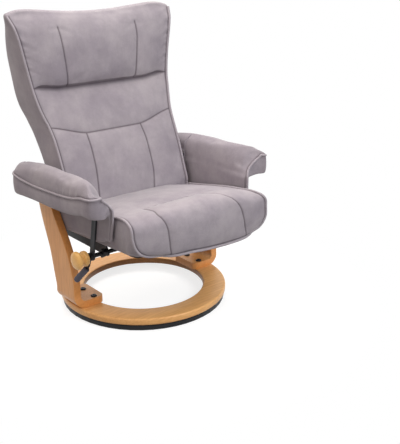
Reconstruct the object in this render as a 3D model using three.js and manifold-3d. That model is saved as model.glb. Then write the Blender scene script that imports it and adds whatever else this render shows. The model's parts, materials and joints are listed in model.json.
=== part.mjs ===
// A reclining armchair that turns on a round wooden base.
// Two bent-wood legs stand on the ring and carry padded armrests. The seat hangs under the armrests
// on a pair of steel links, and the back turns on pivots at the legs. A long steel plate on each side
// ties the seat to a lever below the back, so the seat glides forward as the back goes down.
// Millimetres, +Z up, the front faces -Y, and +X is the sitter's left. The origin is on the floor
// at the centre of the ring.

import * as THREE from "three";
import { mergeVertices } from "three/addons/utils/BufferGeometryUtils.js";
import Module from "manifold-3d";

const wasm = await Module();
wasm.setup();

// Clearances
const FIT_GAP = 0.3; // between faces that rest on each other
const TURN_GAP = 0.4; // round a journal that turns
const LINK_PIN_GAP = 1; // round the pin that closes the linkage
const POCKET_GAP = 1; // round steel that is wrapped in padding
const OVERRUN = 5; // how far a cutting shape runs past the face it cuts

// Width of the seat and height of the legs' ends, from which the other places are worked out
const SEAT_HALF_WIDTH = 288;
const SEAT_SIDE_GAP = 17;
const ARM_FLAP_X = SEAT_HALF_WIDTH + SEAT_SIDE_GAP;
const LEG_SETOUT = 45;
const LEG_OUTER_X = ARM_FLAP_X + LEG_SETOUT;
const LEG_OVERHANG = 20;
const RING_OUTER_RADIUS = LEG_OUTER_X - LEG_OVERHANG;
const LEG_TOP_Z = 505.3;

// Swivel base
const STRIP_THICKNESS = 2.5;
const STRIP_INSET = 4;
const GROUND_RING_INSET = 6;
const GROUND_RING_OUTER_RADIUS = RING_OUTER_RADIUS - GROUND_RING_INSET;
const GROUND_RING_WIDTH = 30;
const GROUND_RING_FLOOR = 4;
const GROUND_RING_WALL = 4.5;
const GROUND_RING_INNER_LIP = 9;
const GROUND_RING_SKIRT = 17.2;
const BALL_RADIUS = 4;
const BALL_COUNT = 12;
const CAGE_WIDTH = 14;
const CAGE_THICKNESS = 3;
const SWIVEL_RING_WEB = 2.8;
const SWIVEL_RING_RIB_WIDTH = 10;
const SWIVEL_RING_INSET = 2;
const RING_WIDTH = 90;
const RING_INNER_RADIUS = RING_OUTER_RADIUS - RING_WIDTH;
const RING_THICKNESS = 27.5;
const RING_EDGE_ROUND = 6;

// Bent legs
const LEG_THICKNESS = 28;
const LEG_BEND_RADIUS = 48;
const LEG_FOOT_LENGTH = 127;
const LEG_TOE_X = LEG_OUTER_X - LEG_FOOT_LENGTH;
const LEG_FRONT_Y = -52;
const LEG_SWEEP = 240;
const LEG_TOE_ROUND = 20;
const LEG_FOOT_WIDTH = 138;
const LEG_BOLT_SETBACK = 37;
const LEG_BOLT_X = LEG_TOE_X + LEG_BOLT_SETBACK;
const LEG_BOLT_FRONT_Y = -36;
const LEG_BOLT_SPACING = 77;
const LEG_BOLT_RADIUS = 4;
const LEG_BOLT_HEAD_RADIUS = 12;
const LEG_BOLT_HEAD_HEIGHT = 5;
const LEG_BOLT_SOCKET_RADIUS = 4;
const LEG_BOLT_GRIP = 46;
// Height, front edge and rear edge, as shares of the leg's height and of its backward sweep
const legSideShares = [
  [0, 0, 0.575],
  [0.062, 0.008, 0.567],
  [0.12, 0.022, 0.548],
  [0.226, 0.02, 0.588],
  [0.32, 0.055, 0.625],
  [0.437, 0.125, 0.675],
  [0.554, 0.233, 0.758],
  [0.69, 0.4, 0.858],
  [0.822, 0.55, 0.933],
  [1, 0.683, 0.992],
];

// Pivots of the hanging linkage, in the side view
const PIVOT_DROP = 15.3;
const PIVOT_TOP_Z = LEG_TOP_Z - PIVOT_DROP;
const FRONT_PIVOT_Y = -179;
const REAR_PIVOT_Y = 138;
const LINK_SETBACK = 38;
const LINK_DROP = 196;
const PIVOT_LOW_Z = PIVOT_TOP_Z - LINK_DROP;
const FRONT_LOW_Y = FRONT_PIVOT_Y + LINK_SETBACK;
const REAR_LOW_Y = REAR_PIVOT_Y + LINK_SETBACK;

// Armrests
const ARM_FLAP_THICKNESS = 13;
const ARM_FLAP_DROP = 135.3;
const ARM_FLAP_BOTTOM_Z = LEG_TOP_Z - ARM_FLAP_DROP;
const ARM_FLAP_FRONT_Y = -268;
const ARM_FLAP_REAR_Y = 110;
const ARM_PAD_HEIGHT = 96.7;
const ARM_CREST_Z = LEG_TOP_Z + ARM_PAD_HEIGHT;
const ARM_WIDTH = 97;
const ARM_OUTER_X = ARM_FLAP_X + ARM_WIDTH;
const ARM_BAND_THICKNESS = 15;
const ARM_FRONT_Y = -290;
const ARM_REAR_Y = 286;
const ARM_HOLLOW_FRONT_Y = -256;
const ARM_HOLLOW_REAR_Y = 244;
const ARM_SWEEP_DROP = 19.3;
const ARM_SWEEP_Z = LEG_TOP_Z - ARM_SWEEP_DROP;
const ARM_END_DROP = 31.3;
const ARM_END_INNER_Z = LEG_TOP_Z - ARM_END_DROP;
const ARM_REAR_RISE = 7.7;
const ARM_REAR_INNER_Z = LEG_TOP_Z + ARM_REAR_RISE;
const ARM_BAND_TUCK_SHARE = 0.97;
const ARM_BOARD_THICKNESS = 14;
const ARM_BOARD_FRONT_Y = -250;
const ARM_BOARD_REAR_Y = 238;
const ARM_BOARD_SIDE_GAP = 3;
const ARM_BOARD_ROUND = 12;
const ARM_SCREW_RADIUS = 3;
const ARM_SCREW_HEAD_RADIUS = 6;
const ARM_SCREW_HEAD_HEIGHT = 4;
const ARM_SCREW_LENGTH = 50;
const ARM_SCREW_SPACING = 40;
// Place along the armrest, height of the outer seam, bottom of the band, height of the crest, width
// of the top, and how far the crest leans out to the front tip, each as a share
const armStationShares = [
  [0, 0.938, 0.816, 0.942, 0.99, 1],
  [0.03, 0.935, 0.813, 0.966, 0.996, 0.75],
  [0.1, 0.916, 0.81, 0.996, 1, 0.3],
  [0.22, 0.885, 0.786, 1, 1, 0.08],
  [0.36, 0.868, 0.773, 1, 1, 0],
  [0.52, 0.858, 0.766, 0.998, 1, 0],
  [0.68, 0.85, 0.762, 0.99, 1, 0],
  [0.84, 0.852, 0.752, 0.965, 1, 0],
  [0.94, 0.862, 0.743, 0.94, 0.99, 0],
  [1, 0.872, 0.755, 0.91, 0.92, 0],
];
// Points over the top from the inner sweep to the outer seam, as shares of the overhang: for most
// of the armrest, and for its front tip, where the crest runs out to the outer corner
const armTopShares = [0.06, 0.15, 0.3, 0.5, 0.68, 0.83, 0.94, 0.98];
const armTipShares = [0.26, 0.56, 0.88, 0.975, 0.983, 0.988, 0.992, 0.996];
// Their heights: up the sweep to the crest, then down from the crest to the outer seam
const armSweepShares = [0.36, 0.64, 0.87, 1];
const armFallShares = [0.95, 0.75, 0.42, 0];

// Steel brackets and links
const HANGER_WIDTH = 52;
const HANGER_THICKNESS = 5;
const HANGER_FLANGE_WIDTH = 42;
const HANGER_NOSE = 24;
const FRONT_STUD_RADIUS = 5;
const FRONT_STUD_HEAD_RADIUS = 9;
const FRONT_STUD_HEAD_THICKNESS = 5;
const LINK_THICKNESS = 6;
const LINK_WIDTH = 25;
const LINK_HUB_RADIUS = 16;
const LINK_FLAP_GAP = 1;
const SHAFT_RADIUS = 8;
const SHAFT_REACH = 19;
const SHAFT_STUD_RADIUS = 5;
const SHAFT_STUD_LENGTH = 26;
const COLLAR_RADIUS = 14;
const COLLAR_WIDTH = 12;
const COLLAR_NUT_RADIUS = 17;
const COLLAR_NUT_WIDTH = 9;
const STUB_FLANGE_RADIUS = 20;
const STUB_FLANGE_THICKNESS = 5;
const STUB_SHOULDER_RADIUS = 12;
const STUB_JOURNAL_RADIUS = 7;

// Hand wheels and release lever
const KNOB_GAP = 1;
const KNOB_LENGTH = 52;
const KNOB_OUTER_RADIUS = 33;
const KNOB_BORE_RADIUS = 8;
const KNOB_BORE_DEPTH = 32;
const KNOB_SLEEVE_WALL = 2.3;
// Place along the knob and radius, as shares of its length and of its outer radius
const knobProfileShares = [
  [0, 0.42],
  [0, 0.72],
  [0.05, 0.82],
  [0.14, 0.86],
  [0.25, 0.83],
  [0.33, 0.72],
  [0.4, 0.57],
  [0.47, 0.56],
  [0.54, 0.72],
  [0.6, 0.9],
  [0.68, 0.98],
  [0.78, 1],
  [0.87, 0.95],
  [0.94, 0.82],
  [0.98, 0.6],
  [1, 0.3],
  [1, 0],
];
const LEVER_HUB_RADIUS = 15;
const LEVER_HUB_WIDTH = 9;
const LEVER_ROD_RADIUS = 4;
const LEVER_GRIP_REACH = 16;
const LEVER_GRIP_SETBACK = 4;
const LEVER_GRIP_DROP = 40;
const LEVER_TIP_REACH = 41;
const LEVER_TIP_SETBACK = 50;
const LEVER_TIP_DROP = 101;
const GRIP_RADIUS = 12;
const GRIP_BORE_DEPTH = 66;
const GRIP_RIB_COUNT = 4;
const GRIP_RIB_DEPTH = 0.7;

// Seat
const SEAT_FRAME_INSET = 31.4;
const SEAT_FRAME_HALF_WIDTH = SEAT_HALF_WIDTH - SEAT_FRAME_INSET;
const SEAT_FRAME_FRONT_Y = -320;
const SEAT_FRAME_REAR_Y = 82;
const SEAT_FRAME_TUBE_WIDTH = 22;
const SEAT_FRAME_TUBE_HEIGHT = 20;
const SEAT_FRAME_RISE = 28;
const SEAT_FRAME_BOTTOM_Z = PIVOT_LOW_Z + SEAT_FRAME_RISE;
const SEAT_FRAME_CORNER = 32;
const SEAT_PLATE_THICKNESS = 5;
const SEAT_PLATE_HUB_RADIUS = 15;
const SEAT_PLATE_RISE = 46;
const SEAT_PLATE_TOP_Z = PIVOT_LOW_Z + SEAT_PLATE_RISE;
const SEAT_PIN_RADIUS = 6;
const SEAT_PIN_HEAD_RADIUS = 10;
const SEAT_PIN_HEAD_THICKNESS = 5;
const SEAT_STRAP_COUNT = 4;
const SEAT_STRAP_WIDTH = 55;
const STRAP_THICKNESS = 2.5;
const LINING_THICKNESS = 1.5;
const SEAT_REAR_Y = 104;
const SEAT_FRONT_Y = -400;
const SEAT_BOTTOM_FRONT_Y = -353;
const SEAT_LIFT = 23;
const SEAT_BOTTOM_Z = PIVOT_LOW_Z + SEAT_LIFT;
const SEAT_THICKNESS = 175;
const SEAT_TOP_Z = SEAT_BOTTOM_Z + SEAT_THICKNESS;
const SEAT_NOSE_FLARE = 19;
const SEAT_NOSE_HALF_WIDTH = SEAT_HALF_WIDTH + SEAT_NOSE_FLARE;
const SEAT_TOE_INSET = 108;
const SEAT_TOE_HALF_WIDTH = SEAT_HALF_WIDTH - SEAT_TOE_INSET;
const SEAT_CROWN = 20;
const SEAT_REAR_CROWN_SHARE = 0.3;
const SEAT_SIDE_RISE = 28;
const SEAT_SIDE_BULGE = 3;
const SEAT_CHANNEL_X = 168;
const SEAT_CHANNEL_DEPTH = 11;
const SEAT_CHANNEL_WIDTH = 34;
const SEAT_CORNER_DROP = 26;
// Where the channels start, and where the level seat turns into its nose, from the back edge
const seatChannelShares = [0.42, 0.55];
const seatNoseShares = [0.55, 0.85];
// From the back edge over the top and down the front: place across the depth, height, how far the
// seat has widened to its nose, how far the nose has narrowed to its lower edge, and the place of
// the same row across the underside, as shares of the sizes that they follow
const seatProfileShares = [
  [0, 0.52, 0, 0, 0],
  [0.08, 0.565, 0, 0, 0.09],
  [0.2, 0.635, 0, 0, 0.22],
  [0.4, 0.765, 0, 0, 0.43],
  [0.58, 0.875, 0.02, 0, 0.6],
  [0.7, 0.94, 0.06, 0, 0.71],
  [0.79, 0.985, 0.2, 0, 0.78],
  [0.86, 1, 0.6, 0, 0.83],
  [0.92, 0.975, 0.95, 0, 0.865],
  [0.965, 0.89, 1, 0, 0.89],
  [0.99, 0.76, 1, 0, 0.91],
  [1, 0.6, 1, 0.05, 0.93],
  [0.992, 0.42, 1, 0.13, 0.95],
  [0.97, 0.25, 1, 0.3, 0.967],
  [0.938, 0.11, 1, 0.56, 0.984],
  [0.9066, 0, 1, 1, 1],
];

// Back
const BACK_DROP = 71;
const BACK_BOTTOM_Z = PIVOT_TOP_Z - BACK_DROP;
const BACK_LOW_LENGTH = 271;
const BACK_MID_SEAM_Z = BACK_BOTTOM_Z + BACK_LOW_LENGTH;
const BACK_MID_LENGTH = 141;
const BACK_SPLIT_Z = BACK_MID_SEAM_Z + BACK_MID_LENGTH;
const BACK_HEAD_LENGTH = 258;
const BACK_TOP_Z = BACK_SPLIT_Z + BACK_HEAD_LENGTH;
const BACK_LEAN = 220;
const BACK_FRONT_Y = 60;
const BACK_DEPTH = 170;
const BACK_INSET = 12;
const BACK_LOW_HALF_WIDTH = SEAT_HALF_WIDTH - BACK_INSET;
const BACK_FLARE = 85;
const BACK_TOP_HALF_WIDTH = BACK_LOW_HALF_WIDTH + BACK_FLARE;
const BACK_PUFF = 24;
const BACK_PUFF_FULLNESS_SHARE = 0.6; // the smaller, the flatter the puffs and the tighter their seams
const BACK_CHANNEL_DEPTH = 10;
const BACK_CHANNEL_WIDTH = 36;
const BACK_CHANNEL_LOW_X = 139;
const BACK_CHANNEL_HEAD_X = 167;
const BACK_SIDE_BULGE = 5;
const BACK_TOP_DIP = 22;
const BACK_REAR_CROWN = 16;
const BACK_SPINE_SHARE = 0.55; // how deep in the back its steel lies
const BACK_TUBE_RADIUS = 9;
const BACK_TUBE_LOW_DROP = 35;
const BACK_TUBE_LOW_Z = PIVOT_TOP_Z - BACK_TUBE_LOW_DROP;
const BACK_TUBE_TOP_DROP = 87;
const BACK_TUBE_TOP_Z = BACK_TOP_Z - BACK_TUBE_TOP_DROP;
const BACK_TUBE_CORNER = 70;
const BACK_TUBE_EASE = 98; // how far before the corner the tube starts to turn
const BACK_BRACKET_THICKNESS = 5;
const BACK_BRACKET_WIDTH = 30;
const BACK_BRACKET_HUB_RADIUS = 17;
const BACK_BRACKET_REACH = 110;
const BACK_BRACKET_TOP_Z = PIVOT_TOP_Z + BACK_BRACKET_REACH;
const BACK_STRAP_WIDTH = 50;
const BACK_STRAP_RISE = 70;
const BACK_STRAP_FIRST_Z = PIVOT_TOP_Z + BACK_STRAP_RISE;
const BACK_STRAP_SPACING = 115;
const BACK_STRAP_COUNT = 3;
// Height, front edge, half-width and depth, as shares of the back's height, of its lean, of the
// step from the low to the top half-width and of its greatest depth
const backSideShares = [
  [0, 0, 0, 0.8],
  [0.1, 0.11, 0, 0.82],
  [0.2, 0.218, 0, 0.86],
  [0.33, 0.39, 0.01, 0.93],
  [0.41, 0.52, 0.07, 0.97],
  [0.478, 0.627, 0.2, 0.98],
  [0.534, 0.695, 0.29, 0.96],
  [0.62, 0.777, 0.39, 0.9],
  [0.76, 0.83, 0.57, 0.83],
  [0.87, 0.85, 0.73, 0.68],
  [0.935, 0.885, 0.85, 0.5],
  [1, 1, 1, 0.2],
];

// Facets
const RING_STEPS = 48;
const ARC_STEPS = 3;
const ROUND_SIDES = 16;
const TUBE_SIDES = 8;
const HOOP_STEPS = 32;
const SEAT_COLUMNS = 16;
const SEAT_ROWS = 26;
const BACK_COLUMNS = 16;
const BACK_ROWS = 12;

const { clamp, lerp, smoothstep } = THREE.MathUtils;

// Finishes
function finish(color, roughness, metalness) {
  return new THREE.MeshStandardMaterial({ color, roughness, metalness });
}
const FABRIC = finish(0xa59da5, 0.9, 0);
const BEECH = finish(0xcd965f, 0.45, 0);
const PLYWOOD = finish(0xc9a878, 0.7, 0);
const BLACK_STEEL = finish(0x1e1e20, 0.45, 0.6);
const DARK_STEEL = finish(0x3c3e44, 0.5, 0.6);
const BRIGHT_STEEL = finish(0x9a9ca0, 0.3, 0.9);
const RUBBER = finish(0x23232a, 0.85, 0);
const GREY_RUBBER = finish(0x5f5a6e, 0.7, 0);
const WEBBING = finish(0x2b2a2c, 0.95, 0);
const NYLON = finish(0xd8d4c8, 0.6, 0);

// Axes, to turn a flat drawing into the plane that it belongs to
const X_AXIS = new THREE.Vector3(1, 0, 0);
const Y_AXIS = new THREE.Vector3(0, 1, 0);
const Z_AXIS = new THREE.Vector3(0, 0, 1);

function toSolid(geometry) {
  const bare = geometry.clone();
  bare.deleteAttribute("normal");
  bare.deleteAttribute("uv");
  const merged = mergeVertices(bare);
  const corners = merged.index.array;
  const kept = [];
  for (let i = 0; i < corners.length; i += 3) {
    const [a, b, c] = [corners[i], corners[i + 1], corners[i + 2]];
    if (a !== b && b !== c && c !== a) {
      kept.push(a, b, c);
    }
  }
  const vertProperties = new Float32Array(merged.attributes.position.array);
  const triVerts = new Uint32Array(kept);
  return new wasm.Manifold(new wasm.Mesh({ numProp: 3, vertProperties, triVerts }));
}

function toGeometry(solid) {
  const mesh = solid.getMesh();
  const geometry = new THREE.BufferGeometry();
  geometry.setAttribute("position", new THREE.Float32BufferAttribute(mesh.vertProperties, 3));
  geometry.setIndex(Array.from(mesh.triVerts));
  geometry.computeVertexNormals();
  return geometry;
}

function cut(geometry, ...tools) {
  return toGeometry(tools.reduce((body, tool) => body.subtract(toSolid(tool)), toSolid(geometry)));
}

function join(...geometries) {
  return toGeometry(geometries.map(toSolid).reduce((body, other) => body.add(other)));
}

function common(...geometries) {
  return toGeometry(geometries.map(toSolid).reduce((body, other) => body.intersect(other)));
}

// A closed surface from points and triangles, turned so that its faces point out
function closedSurface(points, faces) {
  let volume = 0;
  for (const [a, b, c] of faces) {
    volume += points[a].dot(new THREE.Vector3().crossVectors(points[b], points[c]));
  }
  const ordered = volume < 0 ? faces.map(([a, b, c]) => [a, c, b]) : faces;
  const geometry = new THREE.BufferGeometry();
  geometry.setFromPoints(points);
  geometry.setIndex(ordered.flat());
  geometry.computeVertexNormals();
  return geometry;
}

function mirrored(geometry) {
  const copy = geometry.clone().scale(-1, 1, 1);
  const plain = copy.index ? copy : mergeVertices(copy);
  const index = Array.from(plain.index.array);
  for (let i = 0; i < index.length; i += 3) {
    [index[i + 1], index[i + 2]] = [index[i + 2], index[i + 1]];
  }
  plain.setIndex(index);
  plain.computeVertexNormals();
  return plain;
}

// A drawing in the y-z plane, pushed along x
function alongX(shape, from, to) {
  const geometry = new THREE.ExtrudeGeometry(shape, {
    depth: to - from,
    bevelEnabled: false,
    curveSegments: ARC_STEPS,
  });
  geometry.applyMatrix4(new THREE.Matrix4().makeBasis(Y_AXIS, Z_AXIS, X_AXIS));
  return geometry.translate(from, 0, 0);
}

// A drawing in the x-z plane, pushed along y
function alongY(shape, from, to) {
  const geometry = new THREE.ExtrudeGeometry(shape, {
    depth: to - from,
    bevelEnabled: false,
    curveSegments: ARC_STEPS,
  });
  geometry.applyMatrix4(new THREE.Matrix4().makeBasis(X_AXIS, Z_AXIS, Y_AXIS.clone().negate()));
  return geometry.translate(0, to, 0);
}

// A drawing in the x-y plane, pushed along z
function alongZ(shape, from, to) {
  const geometry = new THREE.ExtrudeGeometry(shape, {
    depth: to - from,
    bevelEnabled: false,
    curveSegments: ARC_STEPS,
  });
  return geometry.translate(0, 0, from);
}

function roundedRectangle(left, low, right, high, radius) {
  const shape = new THREE.Shape();
  shape.moveTo(left + radius, low);
  shape.lineTo(right - radius, low);
  shape.absarc(right - radius, low + radius, radius, -Math.PI / 2, 0, false);
  shape.lineTo(right, high - radius);
  shape.absarc(right - radius, high - radius, radius, 0, Math.PI / 2, false);
  shape.lineTo(left + radius, high);
  shape.absarc(left + radius, high - radius, radius, Math.PI / 2, Math.PI, false);
  shape.lineTo(left, low + radius);
  shape.absarc(left + radius, low + radius, radius, Math.PI, 1.5 * Math.PI, false);
  return shape;
}

function block(x0, y0, z0, x1, y1, z1) {
  const geometry = new THREE.BoxGeometry(x1 - x0, y1 - y0, z1 - z0);
  return geometry.translate((x0 + x1) / 2, (y0 + y1) / 2, (z0 + z1) / 2);
}

// A profile of [radius, height] turned about the z axis
function turned(profile, steps) {
  const points = profile.map(([radius, height]) => new THREE.Vector2(radius, height));
  return new THREE.LatheGeometry(points, steps).rotateX(Math.PI / 2);
}

// A closed section that goes all the way round the z axis
function ringOf(section, steps = RING_STEPS) {
  return turned([...section, section[0]], steps);
}

function rodAlongX(radius, from, to, y, z, sides = ROUND_SIDES) {
  const rod = new THREE.CylinderGeometry(radius, radius, to - from, sides);
  return rod.rotateZ(Math.PI / 2).translate((from + to) / 2, y, z);
}

function rodAlongZ(radius, from, to, x, y, sides = ROUND_SIDES) {
  const rod = new THREE.CylinderGeometry(radius, radius, to - from, sides);
  return rod.rotateX(Math.PI / 2).translate(x, y, (from + to) / 2);
}

function tubeAlong(points, radius, steps, sides = TUBE_SIDES) {
  const section = [];
  for (let i = 0; i < sides; i += 1) {
    const angle = (2 * Math.PI * i) / sides;
    section.push(new THREE.Vector2(radius * Math.cos(angle), radius * Math.sin(angle)));
  }
  const route = new THREE.CatmullRomCurve3(points);
  return new THREE.ExtrudeGeometry(new THREE.Shape(section), { steps, extrudePath: route });
}

// Value of each column at a place in a table whose first column rises from 0 to 1
function readTable(table, place) {
  let row = 1;
  while (row < table.length - 1 && table[row][0] < place) {
    row += 1;
  }
  const [before, after] = [table[row - 1], table[row]];
  const share = (place - before[0]) / (after[0] - before[0]);
  return before.map((value, column) => value + share * (after[column] - value));
}

// Two grids of points, front and back, joined round their edges through one line at mid depth
function pad(columns, rows, front, back, bulge) {
  const points = [];
  const gridAt = (surface) => {
    const start = points.length;
    for (let row = 0; row <= rows; row += 1) {
      for (let column = 0; column <= columns; column += 1) {
        points.push(surface((2 * column) / columns - 1, row / rows));
      }
    }
    return (column, row) => start + row * (columns + 1) + column;
  };
  const frontAt = gridAt(front);
  const backAt = gridAt(back);
  const faces = [];
  for (let row = 0; row < rows; row += 1) {
    for (let column = 0; column < columns; column += 1) {
      const corners = [[column, row], [column + 1, row], [column + 1, row + 1], [column, row + 1]];
      const [a, b, c, d] = corners.map(([i, j]) => frontAt(i, j));
      faces.push([a, b, c], [a, c, d]);
      const [e, f, g, h] = corners.map(([i, j]) => backAt(i, j));
      faces.push([e, g, f], [e, h, g]);
    }
  }
  const border = [];
  for (let column = 0; column < columns; column += 1) {
    border.push([column, 0]);
  }
  for (let row = 0; row < rows; row += 1) {
    border.push([columns, row]);
  }
  for (let column = columns; column > 0; column -= 1) {
    border.push([column, rows]);
  }
  for (let row = rows; row > 0; row -= 1) {
    border.push([0, row]);
  }
  const rim = border.map(([column, row]) => {
    const middle = points[frontAt(column, row)].clone().lerp(points[backAt(column, row)], 1 / 2);
    const side = column === 0 ? -1 : column === columns ? 1 : 0;
    points.push(middle.add(new THREE.Vector3(side * bulge, 0, 0)));
    return points.length - 1;
  });
  border.forEach(([column, row], place) => {
    const next = (place + 1) % border.length;
    const [nextColumn, nextRow] = border[next];
    const [a, b] = [frontAt(column, row), frontAt(nextColumn, nextRow)];
    const [c, d] = [backAt(column, row), backAt(nextColumn, nextRow)];
    faces.push([b, a, rim[place]], [b, rim[place], rim[next]]);
    faces.push([rim[next], rim[place], c], [rim[next], c, d]);
  });
  return closedSurface(points, faces);
}

// Rings of points, one after the other, closed at each end by a fan round the ring's middle
function loft(rings) {
  const count = rings[0].length;
  const points = rings.flat();
  const faces = [];
  for (let ring = 0; ring < rings.length - 1; ring += 1) {
    for (let i = 0; i < count; i += 1) {
      const j = (i + 1) % count;
      const [a, b] = [ring * count + i, ring * count + j];
      const [c, d] = [(ring + 1) * count + i, (ring + 1) * count + j];
      faces.push([a, b, d], [a, d, c]);
    }
  }
  const last = (rings.length - 1) * count;
  const centres = [rings[0], rings[rings.length - 1]].map((ring) => {
    const sum = ring.reduce((total, point) => total.add(point), new THREE.Vector3());
    points.push(sum.divideScalar(count));
    return points.length - 1;
  });
  for (let i = 0; i < count; i += 1) {
    const j = (i + 1) % count;
    faces.push([j, i, centres[0]], [last + i, last + j, centres[1]]);
  }
  return closedSurface(points, faces);
}

// How deep a sewn channel lies at a distance from its line, from 1 on the line to 0 beside it
function channel(distance, width) {
  const near = Math.max(0, 1 - Math.abs(distance) / width);
  return near * near * (3 - 2 * near);
}

const chair = new THREE.Group();

function place(name, geometry, material, parent = chair) {
  const mesh = new THREE.Mesh(geometry, material);
  mesh.name = name;
  parent.add(mesh);
  return mesh;
}

// The same piece on both sides: drawn on the +X side, the sitter's left, and mirrored
function placePair(name, geometry, material) {
  place(`${name}_left`, geometry, material);
  place(`${name}_right`, mirrored(geometry), material);
}

// Swivel base

const GROUND_RING_Z = STRIP_THICKNESS + FIT_GAP;
const GROUND_RING_INNER_RADIUS = GROUND_RING_OUTER_RADIUS - GROUND_RING_WIDTH;
const BALL_TRACK_RADIUS = GROUND_RING_OUTER_RADIUS - GROUND_RING_WIDTH / 2 - GROUND_RING_WALL / 2;
const BALL_Z = GROUND_RING_Z + GROUND_RING_FLOOR + FIT_GAP + BALL_RADIUS;
const SKIRT_TOP_Z = GROUND_RING_Z + GROUND_RING_SKIRT;
const SWIVEL_RING_TOP_Z = SKIRT_TOP_Z + TURN_GAP + SWIVEL_RING_WEB;
const RING_BOTTOM_Z = SWIVEL_RING_TOP_Z + FIT_GAP;
const RING_TOP_Z = RING_BOTTOM_Z + RING_THICKNESS;

function floorStrip() {
  const inner = GROUND_RING_INNER_RADIUS + STRIP_INSET;
  const outer = GROUND_RING_OUTER_RADIUS - STRIP_INSET;
  return ringOf([[inner, 0], [outer, 0], [outer, STRIP_THICKNESS], [inner, STRIP_THICKNESS]]);
}

function groundRing() {
  const floorTop = GROUND_RING_Z + GROUND_RING_FLOOR;
  const skirtInner = GROUND_RING_OUTER_RADIUS - GROUND_RING_WALL;
  const lipOuter = GROUND_RING_INNER_RADIUS + GROUND_RING_WALL;
  const lipTop = GROUND_RING_Z + GROUND_RING_INNER_LIP;
  return ringOf([
    [GROUND_RING_INNER_RADIUS, GROUND_RING_Z],
    [GROUND_RING_OUTER_RADIUS, GROUND_RING_Z],
    [GROUND_RING_OUTER_RADIUS, SKIRT_TOP_Z],
    [skirtInner, SKIRT_TOP_Z],
    [skirtInner, floorTop],
    [lipOuter, floorTop],
    [lipOuter, lipTop],
    [GROUND_RING_INNER_RADIUS, lipTop],
  ]);
}

function ballCage() {
  const [inner, outer] = [BALL_TRACK_RADIUS - CAGE_WIDTH / 2, BALL_TRACK_RADIUS + CAGE_WIDTH / 2];
  const [low, high] = [BALL_Z - CAGE_THICKNESS / 2, BALL_Z + CAGE_THICKNESS / 2];
  const cage = ringOf([[inner, low], [outer, low], [outer, high], [inner, high]]);
  const balls = [];
  for (let i = 0; i < BALL_COUNT; i += 1) {
    const angle = (2 * Math.PI * (i + 1 / 2)) / BALL_COUNT;
    const ball = new THREE.SphereGeometry(BALL_RADIUS, TUBE_SIDES, TUBE_SIDES / 2).rotateX(Math.PI / 2);
    const [x, y] = [BALL_TRACK_RADIUS * Math.cos(angle), BALL_TRACK_RADIUS * Math.sin(angle)];
    balls.push(ball.translate(x, y, BALL_Z));
  }
  return join(cage, ...balls);
}

function swivelRing() {
  const ribInner = BALL_TRACK_RADIUS - SWIVEL_RING_RIB_WIDTH / 2;
  const ribOuter = BALL_TRACK_RADIUS + SWIVEL_RING_RIB_WIDTH / 2;
  const webInner = GROUND_RING_INNER_RADIUS + SWIVEL_RING_INSET;
  const webOuter = GROUND_RING_OUTER_RADIUS - SWIVEL_RING_INSET;
  const webBottom = SWIVEL_RING_TOP_Z - SWIVEL_RING_WEB;
  const ribBottom = BALL_Z + BALL_RADIUS + FIT_GAP;
  return ringOf([
    [ribInner, ribBottom],
    [ribOuter, ribBottom],
    [ribOuter, webBottom],
    [webOuter, webBottom],
    [webOuter, SWIVEL_RING_TOP_Z],
    [webInner, SWIVEL_RING_TOP_Z],
    [webInner, webBottom],
    [ribInner, webBottom],
  ]);
}

function legBoltSpots() {
  const rearY = LEG_BOLT_FRONT_Y + LEG_BOLT_SPACING;
  return [["left_front", 1, LEG_BOLT_FRONT_Y], ["left_rear", 1, rearY],
    ["right_front", -1, LEG_BOLT_FRONT_Y], ["right_rear", -1, rearY]];
}

const LEG_BOTTOM_Z = RING_TOP_Z + FIT_GAP;
const LEG_HEIGHT = LEG_TOP_Z - LEG_BOTTOM_Z;
const FOOT_TOP_Z = LEG_BOTTOM_Z + LEG_THICKNESS;
const LEG_INNER_X = LEG_OUTER_X - LEG_THICKNESS;
const BOLT_HEAD_Z = FOOT_TOP_Z + FIT_GAP;
const BOLT_TIP_Z = BOLT_HEAD_Z - LEG_BOLT_GRIP;

function baseRing() {
  const section = roundedRectangle(
    RING_INNER_RADIUS, RING_BOTTOM_Z, RING_OUTER_RADIUS, RING_TOP_Z, RING_EDGE_ROUND);
  const outline = section.getPoints(1).map((point) => [point.x, point.y]);
  const ring = turned(outline, RING_STEPS);
  const holes = legBoltSpots().map(([, side, y]) => rodAlongZ(
    LEG_BOLT_RADIUS + FIT_GAP, BOLT_TIP_Z - FIT_GAP, RING_TOP_Z + OVERRUN, side * LEG_BOLT_X, y));
  return cut(ring, ...holes);
}

// Two screws through each arm board into the leg's end
function armScrewSpots() {
  const top = readTable(legSideShares, 1);
  const middle = LEG_FRONT_Y + (LEG_SWEEP * (top[1] + top[2])) / 2;
  return [["front", middle - ARM_SCREW_SPACING / 2], ["rear", middle + ARM_SCREW_SPACING / 2]];
}

const ARM_BOARD_BOTTOM_Z = LEG_TOP_Z + FIT_GAP;
const ARM_BOARD_TOP_Z = ARM_BOARD_BOTTOM_Z + ARM_BOARD_THICKNESS;
const ARM_HOLLOW_TOP_Z = ARM_BOARD_TOP_Z + FIT_GAP;
const LEG_MIDDLE_X = LEG_OUTER_X - LEG_THICKNESS / 2;

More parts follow.
